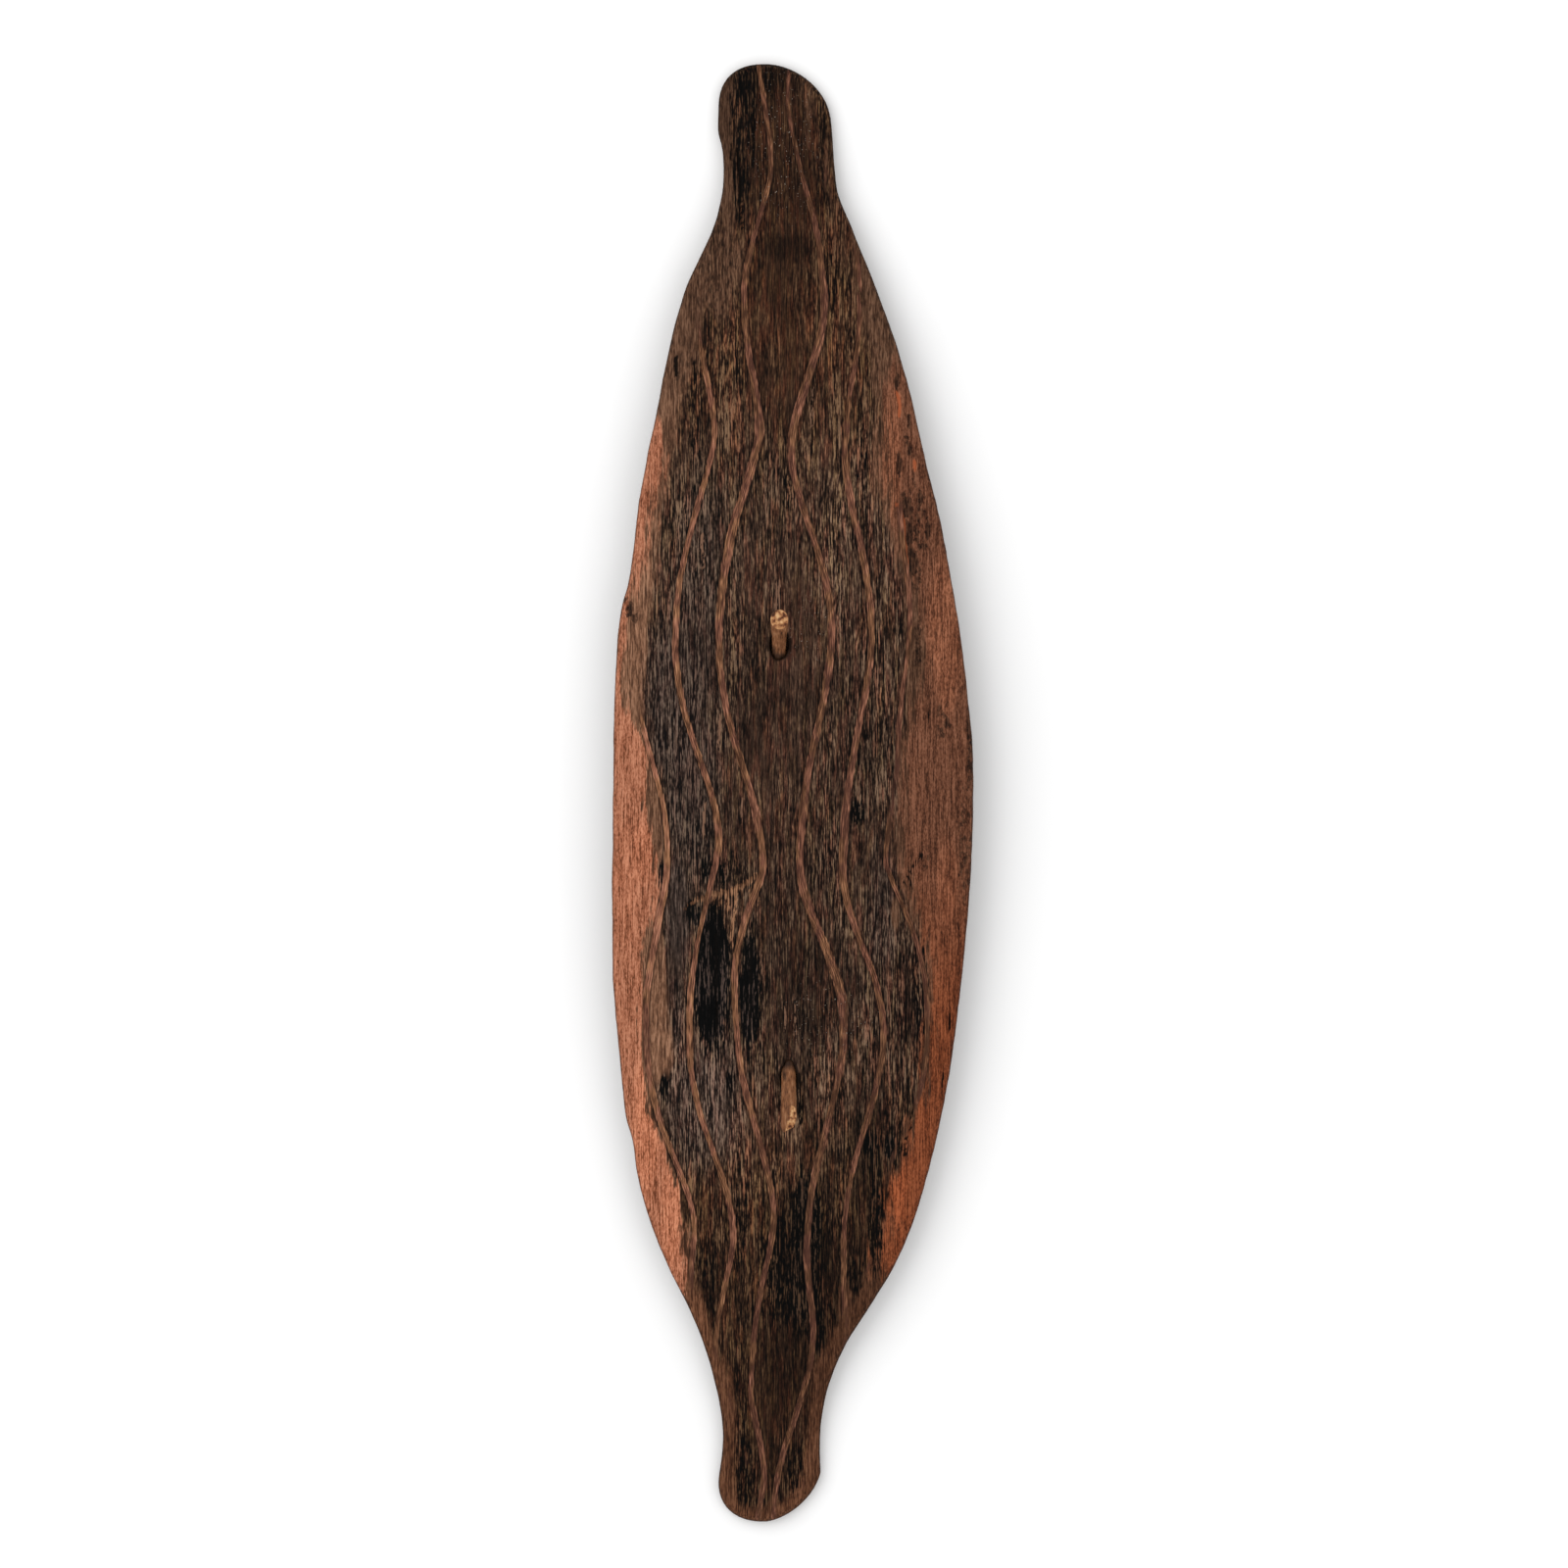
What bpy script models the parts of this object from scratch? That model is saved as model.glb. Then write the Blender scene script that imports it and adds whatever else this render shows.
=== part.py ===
"""A carved wooden shield with a bent-stick handle, lying on its back.

The board is one long blade of wood. It is bowed along its length and crowned across it, so
that its carved front bulges upwards and its back is hollow. Each end is a rounded lobe, and
the whole rests on a worn flat spot under each lobe. Six wavy grooves run along the front.
The handle is one bent stick: its ends come up through two slanting holes in the board, where
they show as pegs, and its middle arches behind the board as the grip.

X runs across the board, Y along it towards the upper lobe, and Z up out of the front. The
origin is on the resting plane, below the middle of the board. Lengths are in metres.

A station is a place along the board, as a share of its half length: 1 is the upper tip and
-1 the lower tip. An offset is a place across it, as a share of its greatest half width.
"""

from math import cos, pi, radians, sin, tan

import bmesh
import bpy
import numpy as np
from mathutils import Vector

# Board
BOARD_LENGTH = 0.920
BOARD_WIDTH = 0.2275
BOARD_THICKNESS = 0.012
LOBE_THICKNESS = 0.011
RIM_THICKNESS = 0.007
RIM_ROUNDING = 0.0035
BOW = 0.045
CROWN = 0.022
REST_WEAR = 0.0012

# Grooves
GROOVE_WIDTH = 0.0056
GROOVE_DEPTH = 0.0016
GROOVE_RUN_OUT = 0.022
SPREAD_RUN = 0.066

# Handle
STICK_THICK_END = 0.0112
STICK_THIN_END = 0.0096
HANDLE_FLOOR_GAP = 0.003
HOLE_CLEARANCE = 0.0006
HOLE_LENGTHENING = 0.0012
UPPER_PEG_REACH = 0.0154
LOWER_PEG_REACH = 0.0242
UPPER_PEG_RISE = radians(45)
LOWER_PEG_RISE = radians(30)
UPPER_CUT_TILT = radians(14)
LOWER_CUT_TILT = radians(5)

# Outline: (station, offset) from the lower lobe to the upper one, then how each lobe's
# corners round off to the tip: the exponent of a superellipse.
LEFT_EDGE = (
    (-0.945, -0.413),
    (-0.887, -0.386),
    (-0.795, -0.446),
    (-0.714, -0.560),
    (-0.661, -0.668),
    (-0.579, -0.804),
    (-0.526, -0.861),
    (-0.470, -0.893),
    (-0.452, -0.917),
    (-0.392, -0.946),
    (-0.284, -0.989),
    (-0.160, -1.000),
    (0.012, -0.995),
    (0.148, -0.984),
    (0.258, -0.944),
    (0.282, -0.919),
    (0.415, -0.842),
    (0.509, -0.766),
    (0.577, -0.712),
    (0.684, -0.603),
    (0.785, -0.429),
    (0.838, -0.386),
    (0.884, -0.393),
    (0.905, -0.414),
    (0.938, -0.413),
)
RIGHT_EDGE = (
    (-0.929, 0.152),
    (-0.882, 0.150),
    (-0.808, 0.204),
    (-0.754, 0.299),
    (-0.714, 0.400),
    (-0.646, 0.567),
    (-0.579, 0.680),
    (-0.499, 0.772),
    (-0.392, 0.864),
    (-0.257, 0.935),
    (-0.096, 0.990),
    (0.039, 1.000),
    (0.227, 0.921),
    (0.388, 0.803),
    (0.470, 0.722),
    (0.550, 0.650),
    (0.684, 0.472),
    (0.774, 0.328),
    (0.825, 0.248),
    (0.848, 0.237),
    (0.919, 0.213),
)
UPPER_TIP_OFFSET = -0.150
LOWER_TIP_OFFSET = -0.158
UPPER_LEFT_ROUNDING = 2.45
UPPER_RIGHT_ROUNDING = 1.85
LOWER_LEFT_ROUNDING = 2.3
LOWER_RIGHT_ROUNDING = 1.65

# The board's long section: it curves evenly to LOBE_STATION, then eases level towards the tip.
LOBE_STATION = 0.80
LOBE_TAPER_STATION = 0.60

# Each groove is a train of half waves between its turning points, (station, offset, lead). A
# lead under 1 makes the half wave that starts there leave early, and a lead over 1 leave late.
# The groove is cut from one station to the other, and runs out at both. A run-out at a station
# past the tip means that it runs over the board's end.
GROOVES = {
    "outer_left": {
        "cut": (0.126, -0.694),
        "turns": (
            (0.126, -0.853, 0.8),
            (-0.082, -0.693, 1.0),
            (-0.297, -0.810, 1.5),
            (-0.599, -0.546, 0.7),
            (-0.694, -0.565, 1.0),
        ),
    },
    "middle_left": {
        "cut": (0.657, -0.790),
        "turns": (
            (0.657, -0.527, 1.0),
            (0.489, -0.435, 0.75),
            (0.214, -0.649, 1.2),
            (-0.069, -0.408, 0.7),
            (-0.324, -0.573, 1.2),
            (-0.606, -0.332, 0.8),
            (-0.790, -0.435, 1.0),
        ),
    },
    "inner_left": {
        "cut": (1.05, -1.05),
        "turns": (
            (1.000, -0.190, 0.7),
            (0.856, -0.125, 0.81),
            (0.671, -0.270, 1.0),
            (0.489, -0.182, 0.65),
            (0.207, -0.410, 1.08),
            (-0.102, -0.168, 0.7),
            (-0.257, -0.321, 1.3),
            (-0.586, -0.106, 0.72),
            (-0.815, -0.231, 1.0),
            (-0.935, -0.160, 1.0),
            (-1.000, -0.196, 1.0),
        ),
    },
    "inner_right": {
        "cut": (1.05, -1.05),
        "turns": (
            (1.000, -0.016, 0.8),
            (0.956, -0.030, 0.86),
            (0.673, 0.171, 1.06),
            (0.465, -0.008, 0.86),
            (0.220, 0.215, 0.85),
            (-0.095, 0.041, 0.97),
            (-0.313, 0.283, 0.93),
            (-0.626, 0.078, 1.0),
            (-0.738, 0.112, 0.93),
            (-1.000, -0.109, 1.0),
        ),
    },
    "middle_right": {
        "cut": (0.764, -0.745),
        "turns": (
            (0.764, 0.337, 0.6),
            (0.673, 0.372, 1.0),
            (0.462, 0.288, 0.85),
            (0.214, 0.435, 0.84),
            (-0.098, 0.277, 1.0),
            (-0.324, 0.500, 0.97),
            (-0.609, 0.280, 1.0),
            (-0.745, 0.288, 1.0),
        ),
    },
    "outer_right": {
        "cut": (0.415, -0.540),
        "turns": (
            (0.415, 0.585, 1.0),
            (0.241, 0.648, 1.0),
            (0.066, 0.583, 1.0),
            (-0.095, 0.512, 0.65),
            (-0.304, 0.745, 1.5),
            (-0.540, 0.522, 1.0),
        ),
    },
}
# Where an outer groove isn't cut, its columns of faces go on between the inner groove beside it
# and the board's edge, this share of the way out.
SPREAD = {
    "outer_left": ("inner_left", 2 / 3),
    "middle_left": ("inner_left", 1 / 3),
    "middle_right": ("inner_right", 1 / 3),
    "outer_right": ("inner_right", 2 / 3),
}

# Handle's places on the board
UPPER_HOLE = (0.203, -0.076)
LOWER_HOLE = (-0.393, -0.024)
CREST_STATION = -0.090
# How long the bend stays level at the crest and straight at the board, as shares of its span
PULL_AT_CREST = 0.45
PULL_AT_BOARD = 0.28

# How finely the faces are cut
TIP_ROWS = (0.0006, 0.0022, 0.005, 0.009, 0.0145, 0.021)
ROW_SPACING = 0.0125
RIM_COLUMNS = (0.0, 0.3, 1.0)
COLUMNS_BETWEEN_GROOVES = (2, 1, 1, 4, 1, 1, 2)
BACK_COLUMNS = 8
NARROWEST_COLUMN = 0.0002
UNCUT_WIDTH = 0.3
OUTLINE_SAMPLES = 600
STICK_SIDES = 12
STICK_BEND_RINGS = 18
HOLE_SIDES = 20
SHARP_ANGLE = radians(32)

HALF_LENGTH = BOARD_LENGTH / 2
HALF_WIDTH = BOARD_WIDTH / 2
BOARD_TOP = BOW + LOBE_THICKNESS - REST_WEAR


def smooth_through(knots, at):
    """The height at a place of a smooth curve through knots, by cubics with centred slopes."""
    x, y = np.array(knots).T
    slopes = np.gradient(y, x)
    left = np.clip(np.searchsorted(x, at) - 1, 0, len(x) - 2)
    width = x[left + 1] - x[left]
    s = np.clip((at - x[left]) / width, 0.0, 1.0)
    start = (1 + 2 * s) * (1 - s) ** 2 * y[left] + s * (1 - s) ** 2 * width * slopes[left]
    end = s**2 * (3 - 2 * s) * y[left + 1] + s**2 * (s - 1) * width * slopes[left + 1]
    return start + end


def smooth_step(low, high, at):
    """0 below low and 1 above high, with an even ease between."""
    s = np.clip((at - low) / (high - low), 0.0, 1.0)
    return s * s * (3 - 2 * s)


def widest(knots):
    """How far out a smooth edge reaches, in the knots' own shares."""
    stations = np.linspace(knots[0][0], knots[-1][0], OUTLINE_SAMPLES)
    return np.abs(smooth_through(knots, stations)).max()


LEFT_WIDEST = widest(LEFT_EDGE)
RIGHT_WIDEST = widest(RIGHT_EDGE)


def edge_offset(knots, most, lower_rounding, upper_rounding, station):
    """The offset of one long edge: a smooth curve that reaches 1 at its widest, rounded off to
    each tip as a quarter of a superellipse."""
    lower, upper = knots[0][0], knots[-1][0]
    edge = smooth_through(knots, min(max(station, lower), upper)) / most
    if lower <= station <= upper:
        return edge
    start, tip, exponent = lower, LOWER_TIP_OFFSET, lower_rounding
    if station > upper:
        start, tip, exponent = upper, UPPER_TIP_OFFSET, upper_rounding
    share = min((abs(station) - abs(start)) / (1 - abs(start)), 1.0)
    return tip + (edge - tip) * (1 - share**exponent) ** (1 / exponent)


def left_x(station):
    rounding = (LOWER_LEFT_ROUNDING, UPPER_LEFT_ROUNDING)
    return HALF_WIDTH * edge_offset(LEFT_EDGE, LEFT_WIDEST, *rounding, station)


def right_x(station):
    rounding = (LOWER_RIGHT_ROUNDING, UPPER_RIGHT_ROUNDING)
    return HALF_WIDTH * edge_offset(RIGHT_EDGE, RIGHT_WIDEST, *rounding, station)


def middle_x(station):
    """The X of the crown's ridge, midway between the edges."""
    reach = min(abs(station), LEFT_EDGE[-1][0])
    inside = reach if station > 0 else -reach
    return (left_x(inside) + right_x(inside)) / 2


def half_width(station):
    """Half the board's width, which stays as it is past the lobe's shoulders."""
    reach = min(abs(station), LEFT_EDGE[-1][0])
    inside = reach if station > 0 else -reach
    return (right_x(inside) - left_x(inside)) / 2


def bow_share(station):
    """How far the board's long section has dropped at a station, as a share of the bow."""
    reach = abs(station)
    ease = LOBE_STATION / (1 - LOBE_STATION)
    whole = LOBE_STATION**2 / 2 + LOBE_STATION * (1 - LOBE_STATION) / 2
    if reach <= LOBE_STATION:
        return reach**2 / 2 / whole
    past = reach - LOBE_STATION
    return (LOBE_STATION**2 / 2 + LOBE_STATION * past - ease * past**2 / 2) / whole


def thickness(station):
    towards_lobe = smooth_step(LOBE_TAPER_STATION, LOBE_STATION, abs(station))
    return BOARD_THICKNESS + (LOBE_THICKNESS - BOARD_THICKNESS) * towards_lobe


def front_z(x, station):
    """The front's height, before its rim is rounded and its grooves are cut."""
    drop = CROWN * ((x - middle_x(station)) / HALF_WIDTH) ** 2
    return BOARD_TOP - BOW * bow_share(station) - drop


def back_z(x, station):
    """The back's height: it follows the front, and closes on it towards the rim."""
    across = ((x - middle_x(station)) / half_width(station)) ** 2
    crown_here = CROWN * (half_width(station) / HALF_WIDTH) ** 2
    hollow = crown_here + RIM_THICKNESS - thickness(station)
    return BOARD_TOP - BOW * bow_share(station) - thickness(station) - hollow * across


def outline_points():
    """The board's outline seen from above, as a closed run of points."""
    turn = np.linspace(0, pi, OUTLINE_SAMPLES)
    stations = np.cos(turn)
    left = [(left_x(s), s * HALF_LENGTH) for s in stations]
    right = [(right_x(s), s * HALF_LENGTH) for s in stations[::-1]]
    return np.array(left + right)


def distance_to_outline(x, y, outline):
    """The shortest way from points to the outline's segments."""
    starts = outline
    ends = np.roll(outline, -1, axis=0)
    along = ends - starts
    lengths = np.maximum((along**2).sum(axis=1), 1e-12)
    points = np.stack([x, y], axis=-1)[..., None, :]
    share = np.clip(((points - starts) * along).sum(axis=-1) / lengths, 0.0, 1.0)
    nearest = starts + along * share[..., None]
    return np.sqrt(((points - nearest) ** 2).sum(axis=-1).min(axis=-1))


def rim_round(distance):
    """The share of the half thickness that a face gives up near the outline."""
    inside = np.clip(1 - distance / RIM_ROUNDING, 0.0, 1.0)
    return 1 - np.sqrt(1 - inside**2)


def wave_offset(turns, station):
    """The offset of a wavy groove at a station."""
    if station >= turns[0][0]:
        return turns[0][1]
    for (start, from_offset, lead), (end, to_offset, _) in zip(turns, turns[1:]):
        if station >= end:
            share = ((start - station) / (start - end)) ** lead
            return from_offset + (to_offset - from_offset) * (1 - cos(pi * share)) / 2
    return turns[-1][1]


def cut_share(groove, station, run_out):
    """1 where a groove has its full depth and 0 where it isn't cut."""
    upper, lower = groove["cut"]
    reach = run_out / HALF_LENGTH
    opening = smooth_step(-upper, -upper + reach, -station)
    return opening * (1 - smooth_step(-lower - reach, -lower, -station))


def groove_columns(station):
    """The X of each groove's middle, and how much of it is cut there, from left to right."""
    paths = {name: wave_offset(g["turns"], station) * HALF_WIDTH for name, g in GROOVES.items()}
    for name, (inner, share) in SPREAD.items():
        edge = left_x(station) if inner == "inner_left" else right_x(station)
        spread = paths[inner] + (edge - paths[inner]) * share
        held = cut_share(GROOVES[name], station, SPREAD_RUN)
        paths[name] = spread + (paths[name] - spread) * held
    cuts = [cut_share(groove, station, GROOVE_RUN_OUT) for groove in GROOVES.values()]
    return list(paths.values()), cuts


def front_columns(station):
    """The X and the groove depth of every point across the front at a station."""
    left, right = left_x(station), right_x(station)
    middles, cuts = groove_columns(station)
    lips = [GROOVE_WIDTH / 2 * max(cut, UNCUT_WIDTH) for cut in cuts]
    rim = [RIM_ROUNDING * share for share in RIM_COLUMNS]
    xs = [left + inset for inset in rim]
    depths = [0.0] * len(rim)
    for number, extra in enumerate(COLUMNS_BETWEEN_GROOVES):
        last = number == len(GROOVES)
        target = right - rim[-1] if last else middles[number] - lips[number]
        xs += list(np.linspace(xs[-1], target, extra + 2)[1:-1])
        depths += [0.0] * extra
        if not last:
            xs += [middles[number] - lips[number], middles[number], middles[number] + lips[number]]
            depths += [0.0, GROOVE_DEPTH * cuts[number], 0.0]
    xs += [right - inset for inset in reversed(rim)]
    depths += [0.0] * len(rim)
    return np.array(xs), np.array(depths)


def in_order(xs, left, right):
    """The same columns, moved as little as keeps each one right of the one before it."""
    count = len(xs)
    gap = min(NARROWEST_COLUMN, (right - left) / count / 2)
    steps = np.arange(count) * gap
    rising = np.maximum.accumulate(xs - steps) + steps
    return np.minimum(rising, right - steps[::-1])


def columns_at(station):
    """The front's columns at a station, drawn together where the lobe rounds off to its tip."""
    inside = min(abs(station), 1 - TIP_ROWS[-1] / HALF_LENGTH)
    shoulder = inside if station > 0 else -inside
    xs, depths = front_columns(shoulder)
    left, right = left_x(shoulder), right_x(shoulder)
    xs = in_order(xs, left, right)
    share = (xs - left) / (right - left)
    return left_x(station) + share * (right_x(station) - left_x(station)), depths


def back_columns(station):
    left, right = left_x(station), right_x(station)
    rim = np.array(RIM_COLUMNS[1:]) * min(RIM_ROUNDING, (right - left) / 4)
    inner = np.linspace(left + rim[-1], right - rim[-1], BACK_COLUMNS + 2)[1:-1]
    return np.concatenate([left + rim, inner, (right - rim)[::-1]])


def row_stations():
    """Stations of the cross-sections, close together where the tips round off."""
    shoulder = HALF_LENGTH - TIP_ROWS[-1]
    even = np.linspace(-shoulder, shoulder, 1 + 2 * round(shoulder / ROW_SPACING))
    near_tip = HALF_LENGTH - np.array(TIP_ROWS[:-1])
    return np.concatenate([-near_tip, even, near_tip[::-1]]) / HALF_LENGTH


def surface_point(x, station, inset, on_front, depth=0.0):
    """A point of the board, with its face rounded down to the outline and worn flat below."""
    front, back = front_z(x, station), back_z(x, station)
    give_up = (front - back) / 2 * rim_round(inset)
    z = front - give_up - depth * (1 - rim_round(inset)) if on_front else back + give_up
    return (x, station * HALF_LENGTH, max(z, 0.0))


def build_board(material):
    """The board as two skins, front and back, that share the points of the outline."""
    outline = outline_points()
    mesh = bmesh.new()
    rows = []
    for station in row_stations():
        y = station * HALF_LENGTH
        xs, depths = columns_at(station)
        insets = distance_to_outline(xs, np.full(len(xs), y), outline)
        insets[0] = insets[-1] = 0.0
        front = [
            mesh.verts.new(surface_point(x, station, inset, True, depth))
            for x, inset, depth in zip(xs, insets, depths)
        ]
        xs = back_columns(station)
        insets = distance_to_outline(xs, np.full(len(xs), y), outline)
        inner = [
            mesh.verts.new(surface_point(x, station, inset, False)) for x, inset in zip(xs, insets)
        ]
        rows.append((front, [front[0], *inner, front[-1]]))
    for (front, back), (next_front, next_back) in zip(rows, rows[1:]):
        for i in range(len(front) - 1):
            mesh.faces.new((front[i], front[i + 1], next_front[i + 1], next_front[i]))
        for i in range(len(back) - 1):
            mesh.faces.new((back[i + 1], back[i], next_back[i], next_back[i + 1]))
    for tip_station, offset, (front, back) in (
        (-1.0, LOWER_TIP_OFFSET, rows[0]),
        (1.0, UPPER_TIP_OFFSET, rows[-1]),
    ):
        tip = mesh.verts.new(surface_point(offset * HALF_WIDTH, tip_station, 0.0, True))
        for i in range(len(front) - 1):
            mesh.faces.new((tip, front[i + 1], front[i]))
        for i in range(len(back) - 1):
            mesh.faces.new((tip, back[i], back[i + 1]))
    bmesh.ops.recalc_face_normals(mesh, faces=mesh.faces)
    return add_object("shield_board", mesh, material)


def add_object(name, mesh, material):
    """A scene object made from an edit mesh, which it uses up."""
    data = bpy.data.meshes.new(name)
    mesh.to_mesh(data)
    mesh.free()
    data.materials.append(material)
    data.shade_smooth()
    data.set_sharp_from_angle(angle=SHARP_ANGLE)
    made = bpy.data.objects.new(name, data)
    bpy.context.scene.collection.objects.link(made)
    return made


class Peg:
    """One end of the stick: where its axis leaves the front, and which way it points."""

    def __init__(self, hole, rise, reach, cut_tilt, diameter, outward):
        station, offset = hole
        x = offset * HALF_WIDTH
        self.exit = Vector((x, station * HALF_LENGTH, front_z(x, station)))
        self.direction = Vector((0.0, outward * cos(rise), sin(rise)))
        self.radius = diameter / 2
        self.end = self.exit + self.direction * (reach / cos(rise))
        self.cut_normal = Vector((0.0, outward * sin(cut_tilt), cos(cut_tilt)))
        # The stick runs straight through the board, and bends only behind it.
        self.across_hole = self.radius + HOLE_CLEARANCE
        self.along_hole = self.across_hole + HOLE_LENGTHENING
        self.bored_back = thickness(station) / sin(rise) + self.along_hole / tan(rise)
        self.bored_front = self.along_hole / tan(rise) + self.radius
        self.bend_start = self.exit - self.direction * self.bored_back


def stick_path(upper, lower):
    """Points along the stick's axis from the upper peg to the lower one, with its end points."""
    crest_height = HANDLE_FLOOR_GAP + (upper.radius + lower.radius) / 2
    crest_y = CREST_STATION * HALF_LENGTH
    share = (upper.exit.y - crest_y) / (upper.exit.y - lower.exit.y)
    crest = Vector((upper.exit.x + (lower.exit.x - upper.exit.x) * share, crest_y, crest_height))
    level = Vector((0.0, -1.0, 0.0))
    upper_bend = bend(crest, -level, upper.bend_start, upper.direction)
    lower_bend = bend(crest, level, lower.bend_start, lower.direction)
    return [upper.end, upper.exit, *upper_bend[:0:-1], *lower_bend, lower.exit, lower.end]


def bend(crest, level, start, direction):
    """A smooth run of points from the level crest to where the stick goes straight."""
    span = (start - crest).length
    handles = (
        crest,
        crest + level * (span * PULL_AT_CREST),
        start - direction * (span * PULL_AT_BOARD),
        start,
    )
    points = []
    for step in range(STICK_BEND_RINGS + 1):
        t = step / STICK_BEND_RINGS
        weights = ((1 - t) ** 3, 3 * t * (1 - t) ** 2, 3 * t**2 * (1 - t), t**3)
        points.append(sum((h * w for h, w in zip(handles, weights)), Vector()))
    return points


def build_stick(upper, lower, material):
    """The stick as a tapered tube along its path, each end cut off by a slanting plane."""
    path = stick_path(upper, lower)
    lengths = [0.0]
    for a, b in zip(path, path[1:]):
        lengths.append(lengths[-1] + (b - a).length)
    mesh = bmesh.new()
    rings = []
    for i, centre in enumerate(path):
        before, after = path[max(i - 1, 0)], path[min(i + 1, len(path) - 1)]
        along = (after - before).normalized()
        side = Vector((1.0, 0.0, 0.0))
        side = (side - along * side.dot(along)).normalized()
        up = side.cross(along)
        share = lengths[i] / lengths[-1]
        radius = upper.radius + (lower.radius - upper.radius) * share
        ring = []
        for n in range(STICK_SIDES):
            turn = 2 * pi * n / STICK_SIDES
            ring.append(centre + (side * cos(turn) + up * sin(turn)) * radius)
        rings.append(ring)
    for ring, peg in ((rings[0], upper), (rings[-1], lower)):
        for n, point in enumerate(ring):
            slide = peg.cut_normal.dot(peg.end - point) / peg.cut_normal.dot(peg.direction)
            ring[n] = point + peg.direction * slide
    made = [[mesh.verts.new(point) for point in ring] for ring in rings]
    for ring, next_ring in zip(made, made[1:]):
        for n in range(STICK_SIDES):
            m = (n + 1) % STICK_SIDES
            mesh.faces.new((ring[n], ring[m], next_ring[m], next_ring[n]))
    mesh.faces.new(made[0])
    mesh.faces.new(made[-1])
    bmesh.ops.recalc_face_normals(mesh, faces=mesh.faces)
    return add_object("handle", mesh, material)


def cut_hole(board, name, peg, material):
    """Bores a slanting hole through the board, a little longer than it is wide."""
    side = Vector((1.0, 0.0, 0.0))
    up = side.cross(peg.direction)
    mesh = bmesh.new()
    rings = []
    for distance in (-peg.bored_back - peg.radius, peg.bored_front):
        centre = peg.exit + peg.direction * distance
        rings.append(
            [
                mesh.verts.new(
                    centre
                    + side * (peg.across_hole * cos(2 * pi * n / HOLE_SIDES))
                    + up * (peg.along_hole * sin(2 * pi * n / HOLE_SIDES))
                )
                for n in range(HOLE_SIDES)
            ]
        )
    for n in range(HOLE_SIDES):
        m = (n + 1) % HOLE_SIDES
        mesh.faces.new((rings[0][n], rings[0][m], rings[1][m], rings[1][n]))
    mesh.faces.new(rings[0])
    mesh.faces.new(rings[1])
    bmesh.ops.recalc_face_normals(mesh, faces=mesh.faces)
    cutter = add_object(name, mesh, material)
    cutter.hide_render = True
    cutter.display_type = "WIRE"
    bore = board.modifiers.new(name, "BOOLEAN")
    bore.operation = "DIFFERENCE"
    bore.object = cutter


def make_material(name, colour, roughness):
    material = bpy.data.materials.new(name)
    material.use_nodes = True
    shader = material.node_tree.nodes["Principled BSDF"]
    shader.inputs["Base Color"].default_value = (*colour, 1.0)
    shader.inputs["Roughness"].default_value = roughness
    shader.inputs["Metallic"].default_value = 0.0
    return material


def main():
    for old in list(bpy.data.objects):
        bpy.data.objects.remove(old, do_unlink=True)
    dark_wood = make_material("weathered_dark_wood", (0.075, 0.045, 0.03), 0.75)
    pale_stick = make_material("debarked_stick", (0.22, 0.12, 0.06), 0.6)
    upper = Peg(UPPER_HOLE, UPPER_PEG_RISE, UPPER_PEG_REACH, UPPER_CUT_TILT, STICK_THICK_END, 1)
    lower = Peg(LOWER_HOLE, LOWER_PEG_RISE, LOWER_PEG_REACH, LOWER_CUT_TILT, STICK_THIN_END, -1)
    board = build_board(dark_wood)
    cut_hole(board, "upper_hole_cutter", upper, dark_wood)
    cut_hole(board, "lower_hole_cutter", lower, dark_wood)
    build_stick(upper, lower, pale_stick)


main()
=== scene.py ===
"""The looks of a carved wooden shield with a bent-stick handle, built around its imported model.

X runs across the board, Y along it towards the upper lobe, and Z up out of the carved front.
Lengths are in metres. A station is a place along the board, as a share of its half length, and
an offset is a place across it, as a share of its greatest half width. Marks on the front are
placed by the column and row of the photograph where they show.
"""

from functools import reduce
from math import cos, pi, radians, sin, tan

import bmesh
import bpy
import numpy as np
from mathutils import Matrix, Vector, kdtree


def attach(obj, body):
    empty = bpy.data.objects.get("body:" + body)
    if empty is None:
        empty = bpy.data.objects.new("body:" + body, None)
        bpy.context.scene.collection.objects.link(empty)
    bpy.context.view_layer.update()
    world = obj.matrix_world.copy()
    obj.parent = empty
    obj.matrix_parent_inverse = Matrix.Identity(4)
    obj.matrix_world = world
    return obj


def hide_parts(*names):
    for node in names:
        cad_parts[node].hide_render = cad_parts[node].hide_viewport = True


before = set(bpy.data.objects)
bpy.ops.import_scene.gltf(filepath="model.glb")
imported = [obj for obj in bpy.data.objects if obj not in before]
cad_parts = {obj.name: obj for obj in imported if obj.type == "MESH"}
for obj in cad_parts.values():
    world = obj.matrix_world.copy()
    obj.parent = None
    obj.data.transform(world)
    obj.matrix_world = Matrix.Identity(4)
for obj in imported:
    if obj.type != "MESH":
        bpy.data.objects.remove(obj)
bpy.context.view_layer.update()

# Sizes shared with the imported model
BOARD_LENGTH = 0.920
BOARD_WIDTH = 0.2275
BOARD_THICKNESS = 0.012
LOBE_THICKNESS = 0.011
RIM_THICKNESS = 0.007
RIM_ROUNDING = 0.0035
BOW = 0.045
CROWN = 0.022
REST_WEAR = 0.0012
GROOVE_DEPTH = 0.0016
GROOVE_RUN_OUT = 0.022
SPREAD_RUN = 0.066
STICK_THICK_END = 0.0112
STICK_THIN_END = 0.0096
HANDLE_FLOOR_GAP = 0.003
HOLE_CLEARANCE = 0.0006
HOLE_LENGTHENING = 0.0012
UPPER_PEG_REACH = 0.0154
LOWER_PEG_REACH = 0.0242
UPPER_PEG_RISE = radians(45)
LOWER_PEG_RISE = radians(30)
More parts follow.
